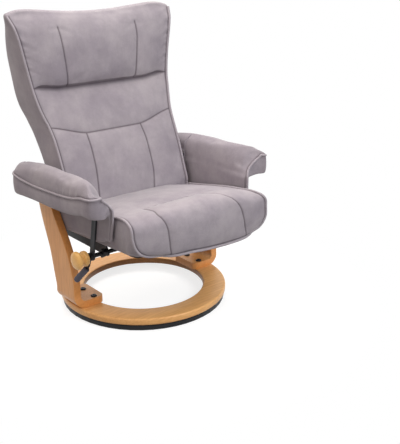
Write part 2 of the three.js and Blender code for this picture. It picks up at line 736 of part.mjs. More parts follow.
// An L of bent wood, sawn to its side outline, with rounded toe corners
function bentLeg() {
  const bendX = LEG_OUTER_X - LEG_BEND_RADIUS;
  const bendZ = LEG_BOTTOM_Z + LEG_BEND_RADIUS;
  const bend = new THREE.Shape();
  bend.moveTo(LEG_TOE_X, LEG_BOTTOM_Z);
  bend.lineTo(bendX, LEG_BOTTOM_Z);
  bend.absarc(bendX, bendZ, LEG_BEND_RADIUS, -Math.PI / 2, 0, false);
  bend.lineTo(LEG_OUTER_X, LEG_TOP_Z);
  bend.lineTo(LEG_INNER_X, LEG_TOP_Z);
  bend.lineTo(LEG_INNER_X, bendZ);
  bend.absarc(bendX, bendZ, LEG_BEND_RADIUS - LEG_THICKNESS, 0, -Math.PI / 2, true);
  bend.lineTo(LEG_TOE_X, FOOT_TOP_Z);

  const heightOf = (share) => LEG_BOTTOM_Z + share * LEG_HEIGHT;
  const edge = (column) => legSideShares.map((row) => new THREE.Vector2(
    LEG_FRONT_Y + row[column] * LEG_SWEEP, heightOf(row[0])));
  const frontEdge = new THREE.SplineCurve(edge(1)).getPoints(ROUND_SIDES);
  const rearEdge = new THREE.SplineCurve(edge(2)).getPoints(ROUND_SIDES);
  const side = new THREE.Shape([...rearEdge, ...frontEdge.reverse()]);

  const rearReach = LEG_FRONT_Y + LEG_SWEEP + OVERRUN;
  const foot = roundedRectangle(LEG_TOE_X, LEG_FRONT_Y, LEG_OUTER_X + OVERRUN + LEG_TOE_ROUND,
    LEG_FRONT_Y + LEG_FOOT_WIDTH, LEG_TOE_ROUND);
  const upright = block(bendX, LEG_FRONT_Y - OVERRUN, LEG_BOTTOM_Z - OVERRUN,
    LEG_OUTER_X + OVERRUN, rearReach, LEG_TOP_Z + OVERRUN);
  const plan = join(alongZ(foot, LEG_BOTTOM_Z - OVERRUN, LEG_TOP_Z + OVERRUN), upright);

  const blank = alongY(bend, LEG_FRONT_Y - OVERRUN, rearReach);
  const sawn = common(blank, alongX(side, LEG_TOE_X - OVERRUN, LEG_OUTER_X + OVERRUN), plan);
  const boltHoles = [0, LEG_BOLT_SPACING].map((step) => rodAlongZ(LEG_BOLT_RADIUS + FIT_GAP,
    LEG_BOTTOM_Z - OVERRUN, FOOT_TOP_Z + OVERRUN, LEG_BOLT_X, LEG_BOLT_FRONT_Y + step));
  const screwTip = ARM_BOARD_TOP_Z - ARM_SCREW_LENGTH - FIT_GAP;
  const screwHoles = armScrewSpots().map(([, y]) => rodAlongZ(
    ARM_SCREW_RADIUS + FIT_GAP, screwTip, LEG_TOP_Z + OVERRUN, LEG_MIDDLE_X, y, TUBE_SIDES));
  return cut(sawn, ...boltHoles, ...screwHoles);
}

// A socket screw with a wide flat head, drawn from the underside of its head
function legBolt() {
  const profile = [
    [0, -LEG_BOLT_GRIP],
    [LEG_BOLT_RADIUS, -LEG_BOLT_GRIP],
    [LEG_BOLT_RADIUS, 0],
    [LEG_BOLT_HEAD_RADIUS, 0],
    [LEG_BOLT_HEAD_RADIUS, LEG_BOLT_HEAD_HEIGHT / 2],
    [LEG_BOLT_HEAD_RADIUS - LEG_BOLT_HEAD_HEIGHT / 2, LEG_BOLT_HEAD_HEIGHT],
    [0, LEG_BOLT_HEAD_HEIGHT],
  ];
  const socket = rodAlongZ(LEG_BOLT_SOCKET_RADIUS, LEG_BOLT_HEAD_HEIGHT / 4,
    LEG_BOLT_HEAD_HEIGHT + OVERRUN, 0, 0, 6);
  return cut(turned(profile, ROUND_SIDES), socket);
}

place("floor_strip", floorStrip(), RUBBER);
place("ground_ring", groundRing(), BLACK_STEEL);
place("ball_cage", ballCage(), NYLON);
place("swivel_ring", swivelRing(), BLACK_STEEL);
place("base_ring", baseRing(), BEECH);
placePair("leg", bentLeg(), BEECH);
const boltGeometry = legBolt();
for (const [spot, side, y] of legBoltSpots()) {
  place(`leg_bolt_${spot}`, boltGeometry, BLACK_STEEL).position.set(side * LEG_BOLT_X, y, BOLT_HEAD_Z);
}

// Armrests

const ARM_HOLLOW_X = ARM_FLAP_X + ARM_FLAP_THICKNESS;
const ARM_BAND_INNER_X = ARM_OUTER_X - ARM_BAND_THICKNESS;
const LINK_INNER_X = ARM_HOLLOW_X + LINK_FLAP_GAP;
const LINK_OUTER_X = LINK_INNER_X + LINK_THICKNESS;
const HANGER_X = LINK_OUTER_X + TURN_GAP;
const SHAFT_END_X = LINK_OUTER_X + SHAFT_REACH;
const KNOB_FIRST_X = SHAFT_END_X + KNOB_GAP;
const LEVER_GRIP_X = LINK_OUTER_X + LEVER_GRIP_REACH;
const LEVER_GRIP_Y = FRONT_LOW_Y + LEVER_GRIP_SETBACK;
const LEVER_GRIP_Z = PIVOT_LOW_Z - LEVER_GRIP_DROP;
const LEVER_TIP_X = LINK_OUTER_X + LEVER_TIP_REACH;
const LEVER_TIP_Y = FRONT_LOW_Y + LEVER_TIP_SETBACK;
const LEVER_TIP_Z = PIVOT_LOW_Z - LEVER_TIP_DROP;

// The cross-section of the armrest at a place along it: a flap that hangs beside the seat, a concave
// sweep out to the crest, a rounded top, and a band that hangs outside and hides the mechanism
function armSection(y, seamZ, bandZ, crestZ, overhang, lean, hasFlap, isHollow) {
  const overhangAt = (share) => ARM_FLAP_X + (ARM_OUTER_X - ARM_FLAP_X) * overhang * share;
  const isOpenBehind = isHollow && y > ARM_FLAP_REAR_Y;
  const sweepZ = isOpenBehind ? ARM_REAR_INNER_Z + OVERRUN : ARM_SWEEP_Z;
  const topZ = [
    ...armSweepShares.map((share) => sweepZ + (crestZ - sweepZ) * share),
    ...armFallShares.map((share) => seamZ + (crestZ - seamZ) * share),
  ];
  const top = topZ.map((z, i) => [overhangAt(lerp(armTopShares[i], armTipShares[i], lean)), z]);
  const bandInnerX = Math.min(ARM_BAND_INNER_X, overhangAt(1) - ARM_BAND_THICKNESS);
  const flapZ = hasFlap ? ARM_FLAP_BOTTOM_Z : sweepZ - OVERRUN;
  const hollow = [
    [bandInnerX, bandZ],
    [bandInnerX, ARM_HOLLOW_TOP_Z],
    [ARM_HOLLOW_X, ARM_HOLLOW_TOP_Z],
    [ARM_HOLLOW_X, flapZ],
    [ARM_FLAP_X, flapZ],
  ];
  const closed = [
    [bandInnerX, bandZ],
    [(bandInnerX + ARM_HOLLOW_X) / 2, (bandZ + ARM_END_INNER_Z) / 2],
    [ARM_HOLLOW_X, ARM_END_INNER_Z],
    [ARM_HOLLOW_X - ARM_FLAP_THICKNESS / 2, ARM_END_INNER_Z],
    [ARM_FLAP_X, ARM_END_INNER_Z + OVERRUN],
  ];
  const outline = [
    [ARM_FLAP_X, sweepZ],
    ...top,
    [overhangAt(1), (seamZ + bandZ) / 2],
    [overhangAt(ARM_BAND_TUCK_SHARE), bandZ],
    ...(isHollow ? hollow : closed),
  ];
  return outline.map(([x, z]) => new THREE.Vector3(x, y, z));
}

function armrest() {
  const length = ARM_REAR_Y - ARM_FRONT_Y;
  const stations = armStationShares.map(([share]) => ARM_FRONT_Y + share * length);
  const breaks = [ARM_FLAP_FRONT_Y, ARM_FLAP_REAR_Y, ARM_HOLLOW_FRONT_Y, ARM_HOLLOW_REAR_Y];
  const places = [...stations, ...breaks.flatMap((y) => [y - FIT_GAP / 2, y + FIT_GAP / 2])];
  places.sort((a, b) => a - b);
  const rings = places.map((y) => {
    const station = readTable(armStationShares, (y - ARM_FRONT_Y) / length);
    const [, seam, band, crest, overhang, lean] = station;
    const hasFlap = y > ARM_FLAP_FRONT_Y && y < ARM_FLAP_REAR_Y;
    const isHollow = y > ARM_HOLLOW_FRONT_Y && y < ARM_HOLLOW_REAR_Y;
    const heights = [seam, band, crest].map((share) => share * ARM_CREST_Z);
    return armSection(y, ...heights, overhang, lean, hasFlap, isHollow);
  });
  return loft(rings);
}

function armBoard() {
  const plan = roundedRectangle(LEG_INNER_X, ARM_BOARD_FRONT_Y,
    ARM_BAND_INNER_X - ARM_BOARD_SIDE_GAP, ARM_BOARD_REAR_Y, ARM_BOARD_ROUND);
  const board = alongZ(plan, ARM_BOARD_BOTTOM_Z, ARM_BOARD_TOP_Z);
  const sinks = armScrewSpots().map(([, y]) => turned([
    [0, -ARM_BOARD_THICKNESS - OVERRUN],
    [ARM_SCREW_RADIUS + FIT_GAP, -ARM_BOARD_THICKNESS - OVERRUN],
    [ARM_SCREW_RADIUS + FIT_GAP, -ARM_SCREW_HEAD_HEIGHT - FIT_GAP],
    [ARM_SCREW_HEAD_RADIUS + FIT_GAP, -FIT_GAP],
    [ARM_SCREW_HEAD_RADIUS + FIT_GAP, OVERRUN],
    [0, OVERRUN],
  ], ROUND_SIDES / 2).translate(LEG_MIDDLE_X, y, ARM_BOARD_TOP_Z));
  return cut(board, ...sinks);
}

// A countersunk wood screw, drawn from the top of its head
function armScrew() {
  return turned([
    [0, -ARM_SCREW_LENGTH],
    [ARM_SCREW_RADIUS, -ARM_SCREW_LENGTH + ARM_SCREW_RADIUS],
    [ARM_SCREW_RADIUS, -ARM_SCREW_HEAD_HEIGHT],
    [ARM_SCREW_HEAD_RADIUS, -FIT_GAP],
    [0, -FIT_GAP],
  ], ROUND_SIDES / 2);
}

placePair("armrest", armrest(), FABRIC);
placePair("arm_board", armBoard(), PLYWOOD);
const screwGeometry = armScrew();
for (const [side, sideName] of [[1, "left"], [-1, "right"]]) {
  for (const [spot, y] of armScrewSpots()) {
    place(`arm_screw_${sideName}_${spot}`, screwGeometry, BRIGHT_STEEL)
      .position.set(side * LEG_MIDDLE_X, y, ARM_BOARD_TOP_Z);
  }
}

// Front hangers, links and the cross shaft

function frontHanger() {
  const top = LEG_TOP_Z;
  const [front, rear] = [FRONT_PIVOT_Y - HANGER_WIDTH / 2, FRONT_PIVOT_Y + HANGER_WIDTH / 2];
  const plate = new THREE.Shape();
  plate.moveTo(front, top);
  plate.lineTo(front, PIVOT_TOP_Z);
  plate.absarc(FRONT_PIVOT_Y, PIVOT_TOP_Z, HANGER_NOSE, Math.PI, 2 * Math.PI, false);
  plate.lineTo(rear, PIVOT_TOP_Z);
  plate.lineTo(rear, top);
  const flangeReach = HANGER_X + HANGER_THICKNESS + HANGER_FLANGE_WIDTH;
  const flange = block(HANGER_X, front, top - HANGER_THICKNESS, flangeReach, rear, top);
  const hole = rodAlongX(FRONT_STUD_RADIUS + FIT_GAP, HANGER_X - OVERRUN,
    HANGER_X + HANGER_THICKNESS + OVERRUN, FRONT_PIVOT_Y, PIVOT_TOP_Z);
  return cut(join(alongX(plate, HANGER_X, HANGER_X + HANGER_THICKNESS), flange), hole);
}

function frontStud() {
  const headX = HANGER_X + HANGER_THICKNESS + FIT_GAP;
  const shank = rodAlongX(FRONT_STUD_RADIUS, LINK_INNER_X, headX + FRONT_STUD_HEAD_THICKNESS / 2,
    FRONT_PIVOT_Y, PIVOT_TOP_Z);
  const head = rodAlongX(FRONT_STUD_HEAD_RADIUS, headX, headX + FRONT_STUD_HEAD_THICKNESS,
    FRONT_PIVOT_Y, PIVOT_TOP_Z, 6);
  return join(shank, head);
}

// A straight bar in the side view, from one hub to the other
function barBetween(y0, z0, y1, z1, width, from, to) {
  const length = Math.hypot(y1 - y0, z1 - z0);
  const [sideY, sideZ] = [((z0 - z1) / length) * (width / 2), ((y1 - y0) / length) * (width / 2)];
  const bar = new THREE.Shape([
    new THREE.Vector2(y0 + sideY, z0 + sideZ),
    new THREE.Vector2(y0 - sideY, z0 - sideZ),
    new THREE.Vector2(y1 - sideY, z1 - sideZ),
    new THREE.Vector2(y1 + sideY, z1 + sideZ),
  ]);
  return alongX(bar, from, to);
}

function swingLink() {
  const bar = barBetween(FRONT_PIVOT_Y, PIVOT_TOP_Z, FRONT_LOW_Y, PIVOT_LOW_Z, LINK_WIDTH,
    LINK_INNER_X, LINK_OUTER_X);
  const upper = rodAlongX(LINK_WIDTH / 2, LINK_INNER_X, LINK_OUTER_X, FRONT_PIVOT_Y, PIVOT_TOP_Z);
  const lower = rodAlongX(LINK_HUB_RADIUS, LINK_INNER_X, LINK_OUTER_X, FRONT_LOW_Y, PIVOT_LOW_Z);
  const studHole = rodAlongX(FRONT_STUD_RADIUS + TURN_GAP, LINK_INNER_X - OVERRUN,
    LINK_OUTER_X + OVERRUN, FRONT_PIVOT_Y, PIVOT_TOP_Z);
  const shaftHole = rodAlongX(SHAFT_RADIUS + FIT_GAP, LINK_INNER_X - OVERRUN,
    LINK_OUTER_X + OVERRUN, FRONT_LOW_Y, PIVOT_LOW_Z);
  return cut(join(bar, upper, lower), studHole, shaftHole);
}

function swingShaft() {
  const studEnd = SHAFT_END_X + SHAFT_STUD_LENGTH;
  const shaft = rodAlongX(SHAFT_RADIUS, -SHAFT_END_X, SHAFT_END_X, FRONT_LOW_Y, PIVOT_LOW_Z);
  const stud = rodAlongX(SHAFT_STUD_RADIUS, -studEnd, studEnd, FRONT_LOW_Y, PIVOT_LOW_Z);
  return join(shaft, stud);
}

const SEAT_PLATE_X = SEAT_FRAME_HALF_WIDTH + FIT_GAP;
const SEAT_PLATE_OUTER_X = SEAT_PLATE_X + SEAT_PLATE_THICKNESS;

// A lock nut with a round collar that keeps the seat plate in its place on the shaft
function shaftCollar() {
  const start = SEAT_PLATE_OUTER_X + TURN_GAP;
  const collar = rodAlongX(COLLAR_RADIUS, start, start + COLLAR_WIDTH + COLLAR_NUT_WIDTH / 2,
    FRONT_LOW_Y, PIVOT_LOW_Z);
  const nut = rodAlongX(COLLAR_NUT_RADIUS, start + COLLAR_WIDTH,
    start + COLLAR_WIDTH + COLLAR_NUT_WIDTH, FRONT_LOW_Y, PIVOT_LOW_Z, 6);
  const bore = rodAlongX(SHAFT_RADIUS + FIT_GAP, start - OVERRUN,
    start + COLLAR_WIDTH + COLLAR_NUT_WIDTH + OVERRUN, FRONT_LOW_Y, PIVOT_LOW_Z);
  return cut(join(collar, nut), bore);
}

placePair("front_hanger", frontHanger(), BLACK_STEEL);
placePair("front_stud", frontStud(), BRIGHT_STEEL);
placePair("swing_link", swingLink(), DARK_STEEL);
place("swing_shaft", swingShaft(), BLACK_STEEL);
placePair("shaft_collar", shaftCollar(), BLACK_STEEL);

// Hand wheels

function handWheel() {
  const profile = knobProfileShares.map(([along, radius]) => [
    radius * KNOB_OUTER_RADIUS, along * KNOB_LENGTH]);
  const wheel = turned([[0, 0], ...profile], ROUND_SIDES);
  const bore = rodAlongZ(KNOB_BORE_RADIUS, -OVERRUN, KNOB_BORE_DEPTH, 0, 0);
  return cut(wheel, bore);
}

function wheelSleeve() {
  const outer = KNOB_BORE_RADIUS - FIT_GAP;
  const sleeve = rodAlongZ(outer, 0, KNOB_BORE_DEPTH - FIT_GAP, 0, 0);
  const bore = rodAlongZ(outer - KNOB_SLEEVE_WALL, -OVERRUN, KNOB_BORE_DEPTH + OVERRUN, 0, 0);
  return cut(sleeve, bore);
}

const wheelGeometry = handWheel();
const sleeveGeometry = wheelSleeve();
for (const [side, sideName] of [[1, "left"], [-1, "right"]]) {
  const wheelGroup = new THREE.Group();
  wheelGroup.position.set(side * KNOB_FIRST_X, FRONT_LOW_Y, PIVOT_LOW_Z);
  wheelGroup.rotation.y = (side * Math.PI) / 2;
  chair.add(wheelGroup);
  place(`hand_wheel_${sideName}`, wheelGeometry, BEECH, wheelGroup);
  place(`wheel_sleeve_${sideName}`, sleeveGeometry, BRIGHT_STEEL, wheelGroup);
}

// Release lever, on the sitter's right only

const gripStart = new THREE.Vector3(-LEVER_GRIP_X, LEVER_GRIP_Y, LEVER_GRIP_Z);
const gripEnd = new THREE.Vector3(-LEVER_TIP_X, LEVER_TIP_Y, LEVER_TIP_Z);
const gripDirection = gripEnd.clone().sub(gripStart).normalize();
const gripLength = gripEnd.distanceTo(gripStart);

function alongGrip(geometry) {
  geometry.applyQuaternion(new THREE.Quaternion().setFromUnitVectors(Z_AXIS, gripDirection));
  return geometry.translate(gripStart.x, gripStart.y, gripStart.z);
}

function releaseLever() {
  const hubInner = LINK_OUTER_X + TURN_GAP;
  const hubOuter = hubInner + LEVER_HUB_WIDTH;
  const hub = rodAlongX(LEVER_HUB_RADIUS, -hubOuter, -hubInner, FRONT_LOW_Y, PIVOT_LOW_Z);
  const bore = rodAlongX(SHAFT_RADIUS + TURN_GAP, -hubOuter - OVERRUN, -hubInner + OVERRUN,
    FRONT_LOW_Y, PIVOT_LOW_Z);
  const rootX = -(hubInner + hubOuter) / 2;
  const rootZ = PIVOT_LOW_Z - LEVER_HUB_RADIUS;
  const leadIn = gripStart.clone().addScaledVector(gripDirection, -LEVER_ROD_RADIUS * 2);
  const rod = tubeAlong([
    new THREE.Vector3(rootX, FRONT_LOW_Y, rootZ + LEVER_ROD_RADIUS),
    new THREE.Vector3(rootX, FRONT_LOW_Y + LEVER_ROD_RADIUS, rootZ - LEVER_ROD_RADIUS),
    leadIn,
    gripStart.clone().addScaledVector(gripDirection, LEVER_ROD_RADIUS),
  ], LEVER_ROD_RADIUS, 2 * ARC_STEPS);
  const tang = alongGrip(rodAlongZ(LEVER_ROD_RADIUS, 0, GRIP_BORE_DEPTH - FIT_GAP, 0, 0, TUBE_SIDES));
  return join(cut(hub, bore), rod, tang);
}

// A rubber sleeve with a domed end and shallow finger rings
function leverGrip() {
  const bore = LEVER_ROD_RADIUS + 2 * FIT_GAP;
  const profile = [[bore, LEVER_ROD_RADIUS], [GRIP_RADIUS - GRIP_RIB_DEPTH * 2, LEVER_ROD_RADIUS]];
  const ribbed = gripLength - GRIP_RADIUS - LEVER_ROD_RADIUS * 2;
  for (let i = 0; i <= 2 * GRIP_RIB_COUNT; i += 1) {
    const depth = i % 2 ? GRIP_RIB_DEPTH : 0;
    profile.push([GRIP_RADIUS - depth, LEVER_ROD_RADIUS * 2 + (ribbed * i) / (2 * GRIP_RIB_COUNT)]);
  }
  for (let i = 1; i <= ARC_STEPS; i += 1) {
    const angle = (Math.PI / 2) * (i / ARC_STEPS);
    profile.push([GRIP_RADIUS * Math.cos(angle), gripLength - GRIP_RADIUS * (1 - Math.sin(angle))]);
  }
  profile.push([0, GRIP_BORE_DEPTH + FIT_GAP], [bore, GRIP_BORE_DEPTH + FIT_GAP]);
  return alongGrip(turned([...profile, profile[0]], ROUND_SIDES));
}

place("release_lever", releaseLever(), BLACK_STEEL);
place("lever_grip", leverGrip(), GREY_RUBBER);

// Seat

const SEAT_FRAME_TOP_Z = SEAT_FRAME_BOTTOM_Z + SEAT_FRAME_TUBE_HEIGHT;
const SEAT_STRAP_Z = SEAT_FRAME_TOP_Z + FIT_GAP;
const SEAT_POCKET_Z = SEAT_STRAP_Z + STRAP_THICKNESS + FIT_GAP;

function seatFrame() {
  const outer = roundedRectangle(-SEAT_FRAME_HALF_WIDTH, SEAT_FRAME_FRONT_Y, SEAT_FRAME_HALF_WIDTH,
    SEAT_FRAME_REAR_Y, SEAT_FRAME_CORNER);
  outer.holes.push(roundedRectangle(
    -SEAT_FRAME_HALF_WIDTH + SEAT_FRAME_TUBE_WIDTH, SEAT_FRAME_FRONT_Y + SEAT_FRAME_TUBE_WIDTH,
    SEAT_FRAME_HALF_WIDTH - SEAT_FRAME_TUBE_WIDTH, SEAT_FRAME_REAR_Y - SEAT_FRAME_TUBE_WIDTH,
    SEAT_FRAME_CORNER - SEAT_FRAME_TUBE_WIDTH));
  return alongZ(outer, SEAT_FRAME_BOTTOM_Z, SEAT_FRAME_TOP_Z);
}

// The plate's outline in the side view, from the front hub to the rear one
function seatPlateShape(grow) {
  const radius = SEAT_PLATE_HUB_RADIUS + grow;
  const top = SEAT_PLATE_TOP_Z + grow;
  const shape = new THREE.Shape();
  shape.absarc(FRONT_LOW_Y, PIVOT_LOW_Z, radius, Math.PI, 1.5 * Math.PI, false);
  shape.absarc(REAR_LOW_Y, PIVOT_LOW_Z, radius, -Math.PI / 2, Math.PI / 2, false);
  shape.lineTo(SEAT_FRAME_REAR_Y + SEAT_FRAME_CORNER / 2 + grow, top);
  shape.lineTo(FRONT_LOW_Y + SEAT_FRAME_CORNER / 2, top);
  return shape;
}

function seatPlate() {
  const plate = alongX(seatPlateShape(0), SEAT_PLATE_X, SEAT_PLATE_OUTER_X);
  const shaftHole = rodAlongX(SHAFT_RADIUS + TURN_GAP, SEAT_PLATE_X - OVERRUN,
    SEAT_PLATE_OUTER_X + OVERRUN, FRONT_LOW_Y, PIVOT_LOW_Z);
  const pinHole = rodAlongX(SEAT_PIN_RADIUS + FIT_GAP, SEAT_PLATE_X - OVERRUN,
    SEAT_PLATE_OUTER_X + OVERRUN, REAR_LOW_Y, PIVOT_LOW_Z);
  return cut(plate, shaftHole, pinHole);
}

const BRACKET_X = SEAT_PLATE_OUTER_X + TURN_GAP;
const BRACKET_OUTER_X = BRACKET_X + BACK_BRACKET_THICKNESS;
const BACK_TUBE_X = BRACKET_X - FIT_GAP - BACK_TUBE_RADIUS;

function seatPin() {
  const headX = BRACKET_OUTER_X + TURN_GAP;
  const shank = rodAlongX(SEAT_PIN_RADIUS, SEAT_PLATE_X, headX + SEAT_PIN_HEAD_THICKNESS / 2,
    REAR_LOW_Y, PIVOT_LOW_Z);
  const head = rodAlongX(SEAT_PIN_HEAD_RADIUS, headX, headX + SEAT_PIN_HEAD_THICKNESS,
    REAR_LOW_Y, PIVOT_LOW_Z);
  return join(shank, head);
}

function seatStrap(index) {
  const first = SEAT_FRAME_FRONT_Y + SEAT_FRAME_TUBE_WIDTH;
  const last = SEAT_FRAME_REAR_Y - SEAT_FRAME_TUBE_WIDTH;
  const middle = first + ((last - first) * (index + 1 / 2)) / SEAT_STRAP_COUNT;
  const half = SEAT_FRAME_HALF_WIDTH - SEAT_FRAME_TUBE_WIDTH / 4;
  return block(-half, middle - SEAT_STRAP_WIDTH / 2, SEAT_STRAP_Z,
    half, middle + SEAT_STRAP_WIDTH / 2, SEAT_STRAP_Z + STRAP_THICKNESS);
}

function seatLining() {
  const inset = SEAT_FRAME_TUBE_WIDTH / 4;
  const plan = roundedRectangle(-SEAT_FRAME_HALF_WIDTH + inset, SEAT_FRAME_FRONT_Y + inset,
    SEAT_FRAME_HALF_WIDTH - inset, SEAT_FRAME_REAR_Y - inset, SEAT_FRAME_CORNER - inset);
  const top = SEAT_FRAME_BOTTOM_Z - FIT_GAP;
  return alongZ(plan, top - LINING_THICKNESS, top);
}

// Where the sewn channels cross the seat: two lines that run back from the front edge
function seatChannelDepth(x, along) {
  const reach = smoothstep(along, ...seatChannelShares);
  const lines = channel(x - SEAT_CHANNEL_X, SEAT_CHANNEL_WIDTH)
    + channel(x + SEAT_CHANNEL_X, SEAT_CHANNEL_WIDTH);
  return SEAT_CHANNEL_DEPTH * reach * lines;
}

function seatRow(along) {
  const rows = seatProfileShares.length - 1;
  const row = Math.min(rows - 1, Math.floor(along * rows));
  const next = seatProfileShares[row + 1];
  return seatProfileShares[row].map((value, column) => lerp(value, next[column], along * rows - row));
}

function seatHalfWidth(widening, narrowing) {
  return SEAT_HALF_WIDTH + widening * (SEAT_NOSE_HALF_WIDTH - SEAT_HALF_WIDTH)
    - narrowing * (SEAT_NOSE_HALF_WIDTH - SEAT_TOE_HALF_WIDTH);
}

// The seat's top and front as one surface, from the back edge over the nose to the bottom seam
function seatTopPoint(across, along) {
  const [depth, height, widening, narrowing] = seatRow(along);
  const x = across * seatHalfWidth(widening, narrowing);
  const edge = Math.abs(across) ** 3;
  const front = SEAT_FRONT_Y - SEAT_REAR_Y;
  const noseness = smoothstep(along, ...seatNoseShares);
  const crown = SEAT_CROWN * edge * lerp(SEAT_REAR_CROWN_SHARE, 1, smoothstep(along, 0, seatChannelShares[0]));
  const sag = crown * (1 - noseness) + SEAT_CORNER_DROP * edge * edge * noseness * height;
  const channelDepth = seatChannelDepth(x, along);
  const y = SEAT_REAR_Y + depth * front + noseness * (channelDepth + edge * edge * SEAT_CORNER_DROP);
  const top = SEAT_BOTTOM_Z + height * (SEAT_TOP_Z - SEAT_BOTTOM_Z);
  return new THREE.Vector3(x, y, top - sag - channelDepth * (1 - noseness));
}

// The underside, whose side edges rise to the front but stay below the nose
function seatBottomPoint(across, along) {
  const [, height, widening, narrowing, place] = seatRow(along);
  const halfWidth = Math.min(SEAT_HALF_WIDTH, seatHalfWidth(widening, narrowing)) - SEAT_SIDE_BULGE;
  const reach = SEAT_BOTTOM_FRONT_Y - SEAT_REAR_Y + OVERRUN;
  const rise = Math.min(SEAT_SIDE_RISE * place, (height * (SEAT_TOP_Z - SEAT_BOTTOM_Z)) / 2);
  return new THREE.Vector3(
    across * halfWidth, SEAT_REAR_Y + place * reach, SEAT_BOTTOM_Z + rise * across ** 4);
}

function seatCushion() {
  const body = pad(SEAT_COLUMNS, SEAT_ROWS, seatTopPoint, seatBottomPoint, SEAT_SIDE_BULGE);
  const pocketX = SEAT_PLATE_OUTER_X + POCKET_GAP;
  const pocket = block(-pocketX, SEAT_FRAME_FRONT_Y - POCKET_GAP, SEAT_BOTTOM_Z - SEAT_CORNER_DROP,
    pocketX, SEAT_FRAME_REAR_Y + POCKET_GAP, SEAT_POCKET_Z);
  const slots = [1, -1].map((side) => {
    const [a, b] = [side * (SEAT_PLATE_X - POCKET_GAP), side * pocketX];
    return block(Math.min(a, b), SEAT_FRAME_REAR_Y - OVERRUN, SEAT_BOTTOM_Z - SEAT_CORNER_DROP,
      Math.max(a, b), SEAT_REAR_Y + OVERRUN, SEAT_PLATE_TOP_Z + POCKET_GAP);
  });
  return cut(body, pocket, ...slots);
}

place("seat_frame", seatFrame(), BLACK_STEEL);
placePair("seat_plate", seatPlate(), BLACK_STEEL);
placePair("seat_pin", seatPin(), BRIGHT_STEEL);
for (let i = 0; i < SEAT_STRAP_COUNT; i += 1) {
  place(`seat_strap_${i + 1}`, seatStrap(i), WEBBING);
}
place("seat_lining", seatLining(), WEBBING);
place("seat_cushion", seatCushion(), FABRIC);

// Back

const BACK_HEIGHT = BACK_TOP_Z - BACK_BOTTOM_Z;

// Front edge, half-width and depth of the back at a height
function backAt(z) {
  const [, front, width, depth] = readTable(backSideShares, (z - BACK_BOTTOM_Z) / BACK_HEIGHT);
  return {
    front: BACK_FRONT_Y + front * BACK_LEAN,
    halfWidth: BACK_LOW_HALF_WIDTH + width * (BACK_TOP_HALF_WIDTH - BACK_LOW_HALF_WIDTH),
    depth: depth * BACK_DEPTH,
  };
}

// The middle of the back's thickness, where the steel tube runs
function spineY(z) {
  const { front, depth } = backAt(z);
  return front + depth * BACK_SPINE_SHARE;
}

function backTubeRoute() {
  const heights = [BACK_TUBE_LOW_Z, BACK_STRAP_FIRST_Z, BACK_BRACKET_TOP_Z, BACK_MID_SEAM_Z,
    BACK_MID_SEAM_Z + BACK_TUBE_CORNER, BACK_SPLIT_Z, BACK_TUBE_TOP_Z - BACK_TUBE_EASE];
  const cornerZ = BACK_TUBE_TOP_Z - BACK_TUBE_CORNER / 3;
  const places = [
    ...heights.map((z) => [BACK_TUBE_X, z]),
    [BACK_TUBE_X - BACK_TUBE_CORNER / 3, cornerZ],
    [BACK_TUBE_X - BACK_TUBE_EASE, BACK_TUBE_TOP_Z],
  ];
  const half = places.map(([x, z]) => new THREE.Vector3(x, spineY(z), z));
  const other = half.map((point) => new THREE.Vector3(-point.x, point.y, point.z)).reverse();
  return [...half, ...other];
}

function backHoop(radius) {
  const hoop = tubeAlong(backTubeRoute(), radius, HOOP_STEPS);
  const barZ = BACK_TUBE_LOW_Z + BACK_TUBE_CORNER / 3;
  const bar = rodAlongX(radius, -BACK_TUBE_X, BACK_TUBE_X, spineY(barZ), barZ, TUBE_SIDES);
  return join(hoop, bar);
}

// The lever and side plate of the back, from the low pivot past the main one up beside the tube
function backBracketShape(grow) {
  const from = BRACKET_X - grow;
  const to = BRACKET_OUTER_X + grow;
  const upperY = spineY(BACK_BRACKET_TOP_Z);
  const lever = barBetween(REAR_LOW_Y, PIVOT_LOW_Z, REAR_PIVOT_Y, PIVOT_TOP_Z,
    BACK_BRACKET_WIDTH + 2 * grow, from, to);
  const upper = barBetween(REAR_PIVOT_Y, PIVOT_TOP_Z, upperY, BACK_BRACKET_TOP_Z,
    BACK_BRACKET_WIDTH + 2 * grow, from, to);
  const hubs = [[REAR_LOW_Y, PIVOT_LOW_Z], [REAR_PIVOT_Y, PIVOT_TOP_Z], [upperY, BACK_BRACKET_TOP_Z]]
    .map(([y, z]) => rodAlongX(BACK_BRACKET_HUB_RADIUS + grow, from, to, y, z));
  return join(lever, upper, ...hubs);
}

function backBracket() {
  const journalHole = rodAlongX(STUB_JOURNAL_RADIUS + TURN_GAP, BRACKET_X - OVERRUN,
    BRACKET_OUTER_X + OVERRUN, REAR_PIVOT_Y, PIVOT_TOP_Z);
  const pinHole = rodAlongX(SEAT_PIN_RADIUS + LINK_PIN_GAP, BRACKET_X - OVERRUN,
    BRACKET_OUTER_X + OVERRUN, REAR_LOW_Y, PIVOT_LOW_Z);
  return cut(backBracketShape(0), journalHole, pinHole);
}

// The fixed pivot: a flange against the leg, a stout shoulder and the journal that the back turns on
function pivotStub() {
  const flangeX = LEG_INNER_X - FIT_GAP - STUB_FLANGE_THICKNESS;
  const shoulderX = BRACKET_OUTER_X + TURN_GAP;
  const flange = rodAlongX(STUB_FLANGE_RADIUS, flangeX, flangeX + STUB_FLANGE_THICKNESS,
    REAR_PIVOT_Y, PIVOT_TOP_Z);
  const shoulder = rodAlongX(STUB_SHOULDER_RADIUS, shoulderX, flangeX + STUB_FLANGE_THICKNESS / 2,
    REAR_PIVOT_Y, PIVOT_TOP_Z);
  const journal = rodAlongX(STUB_JOURNAL_RADIUS, BRACKET_X, shoulderX + STUB_SHOULDER_RADIUS,
    REAR_PIVOT_Y, PIVOT_TOP_Z);
  return join(flange, shoulder, journal);
}

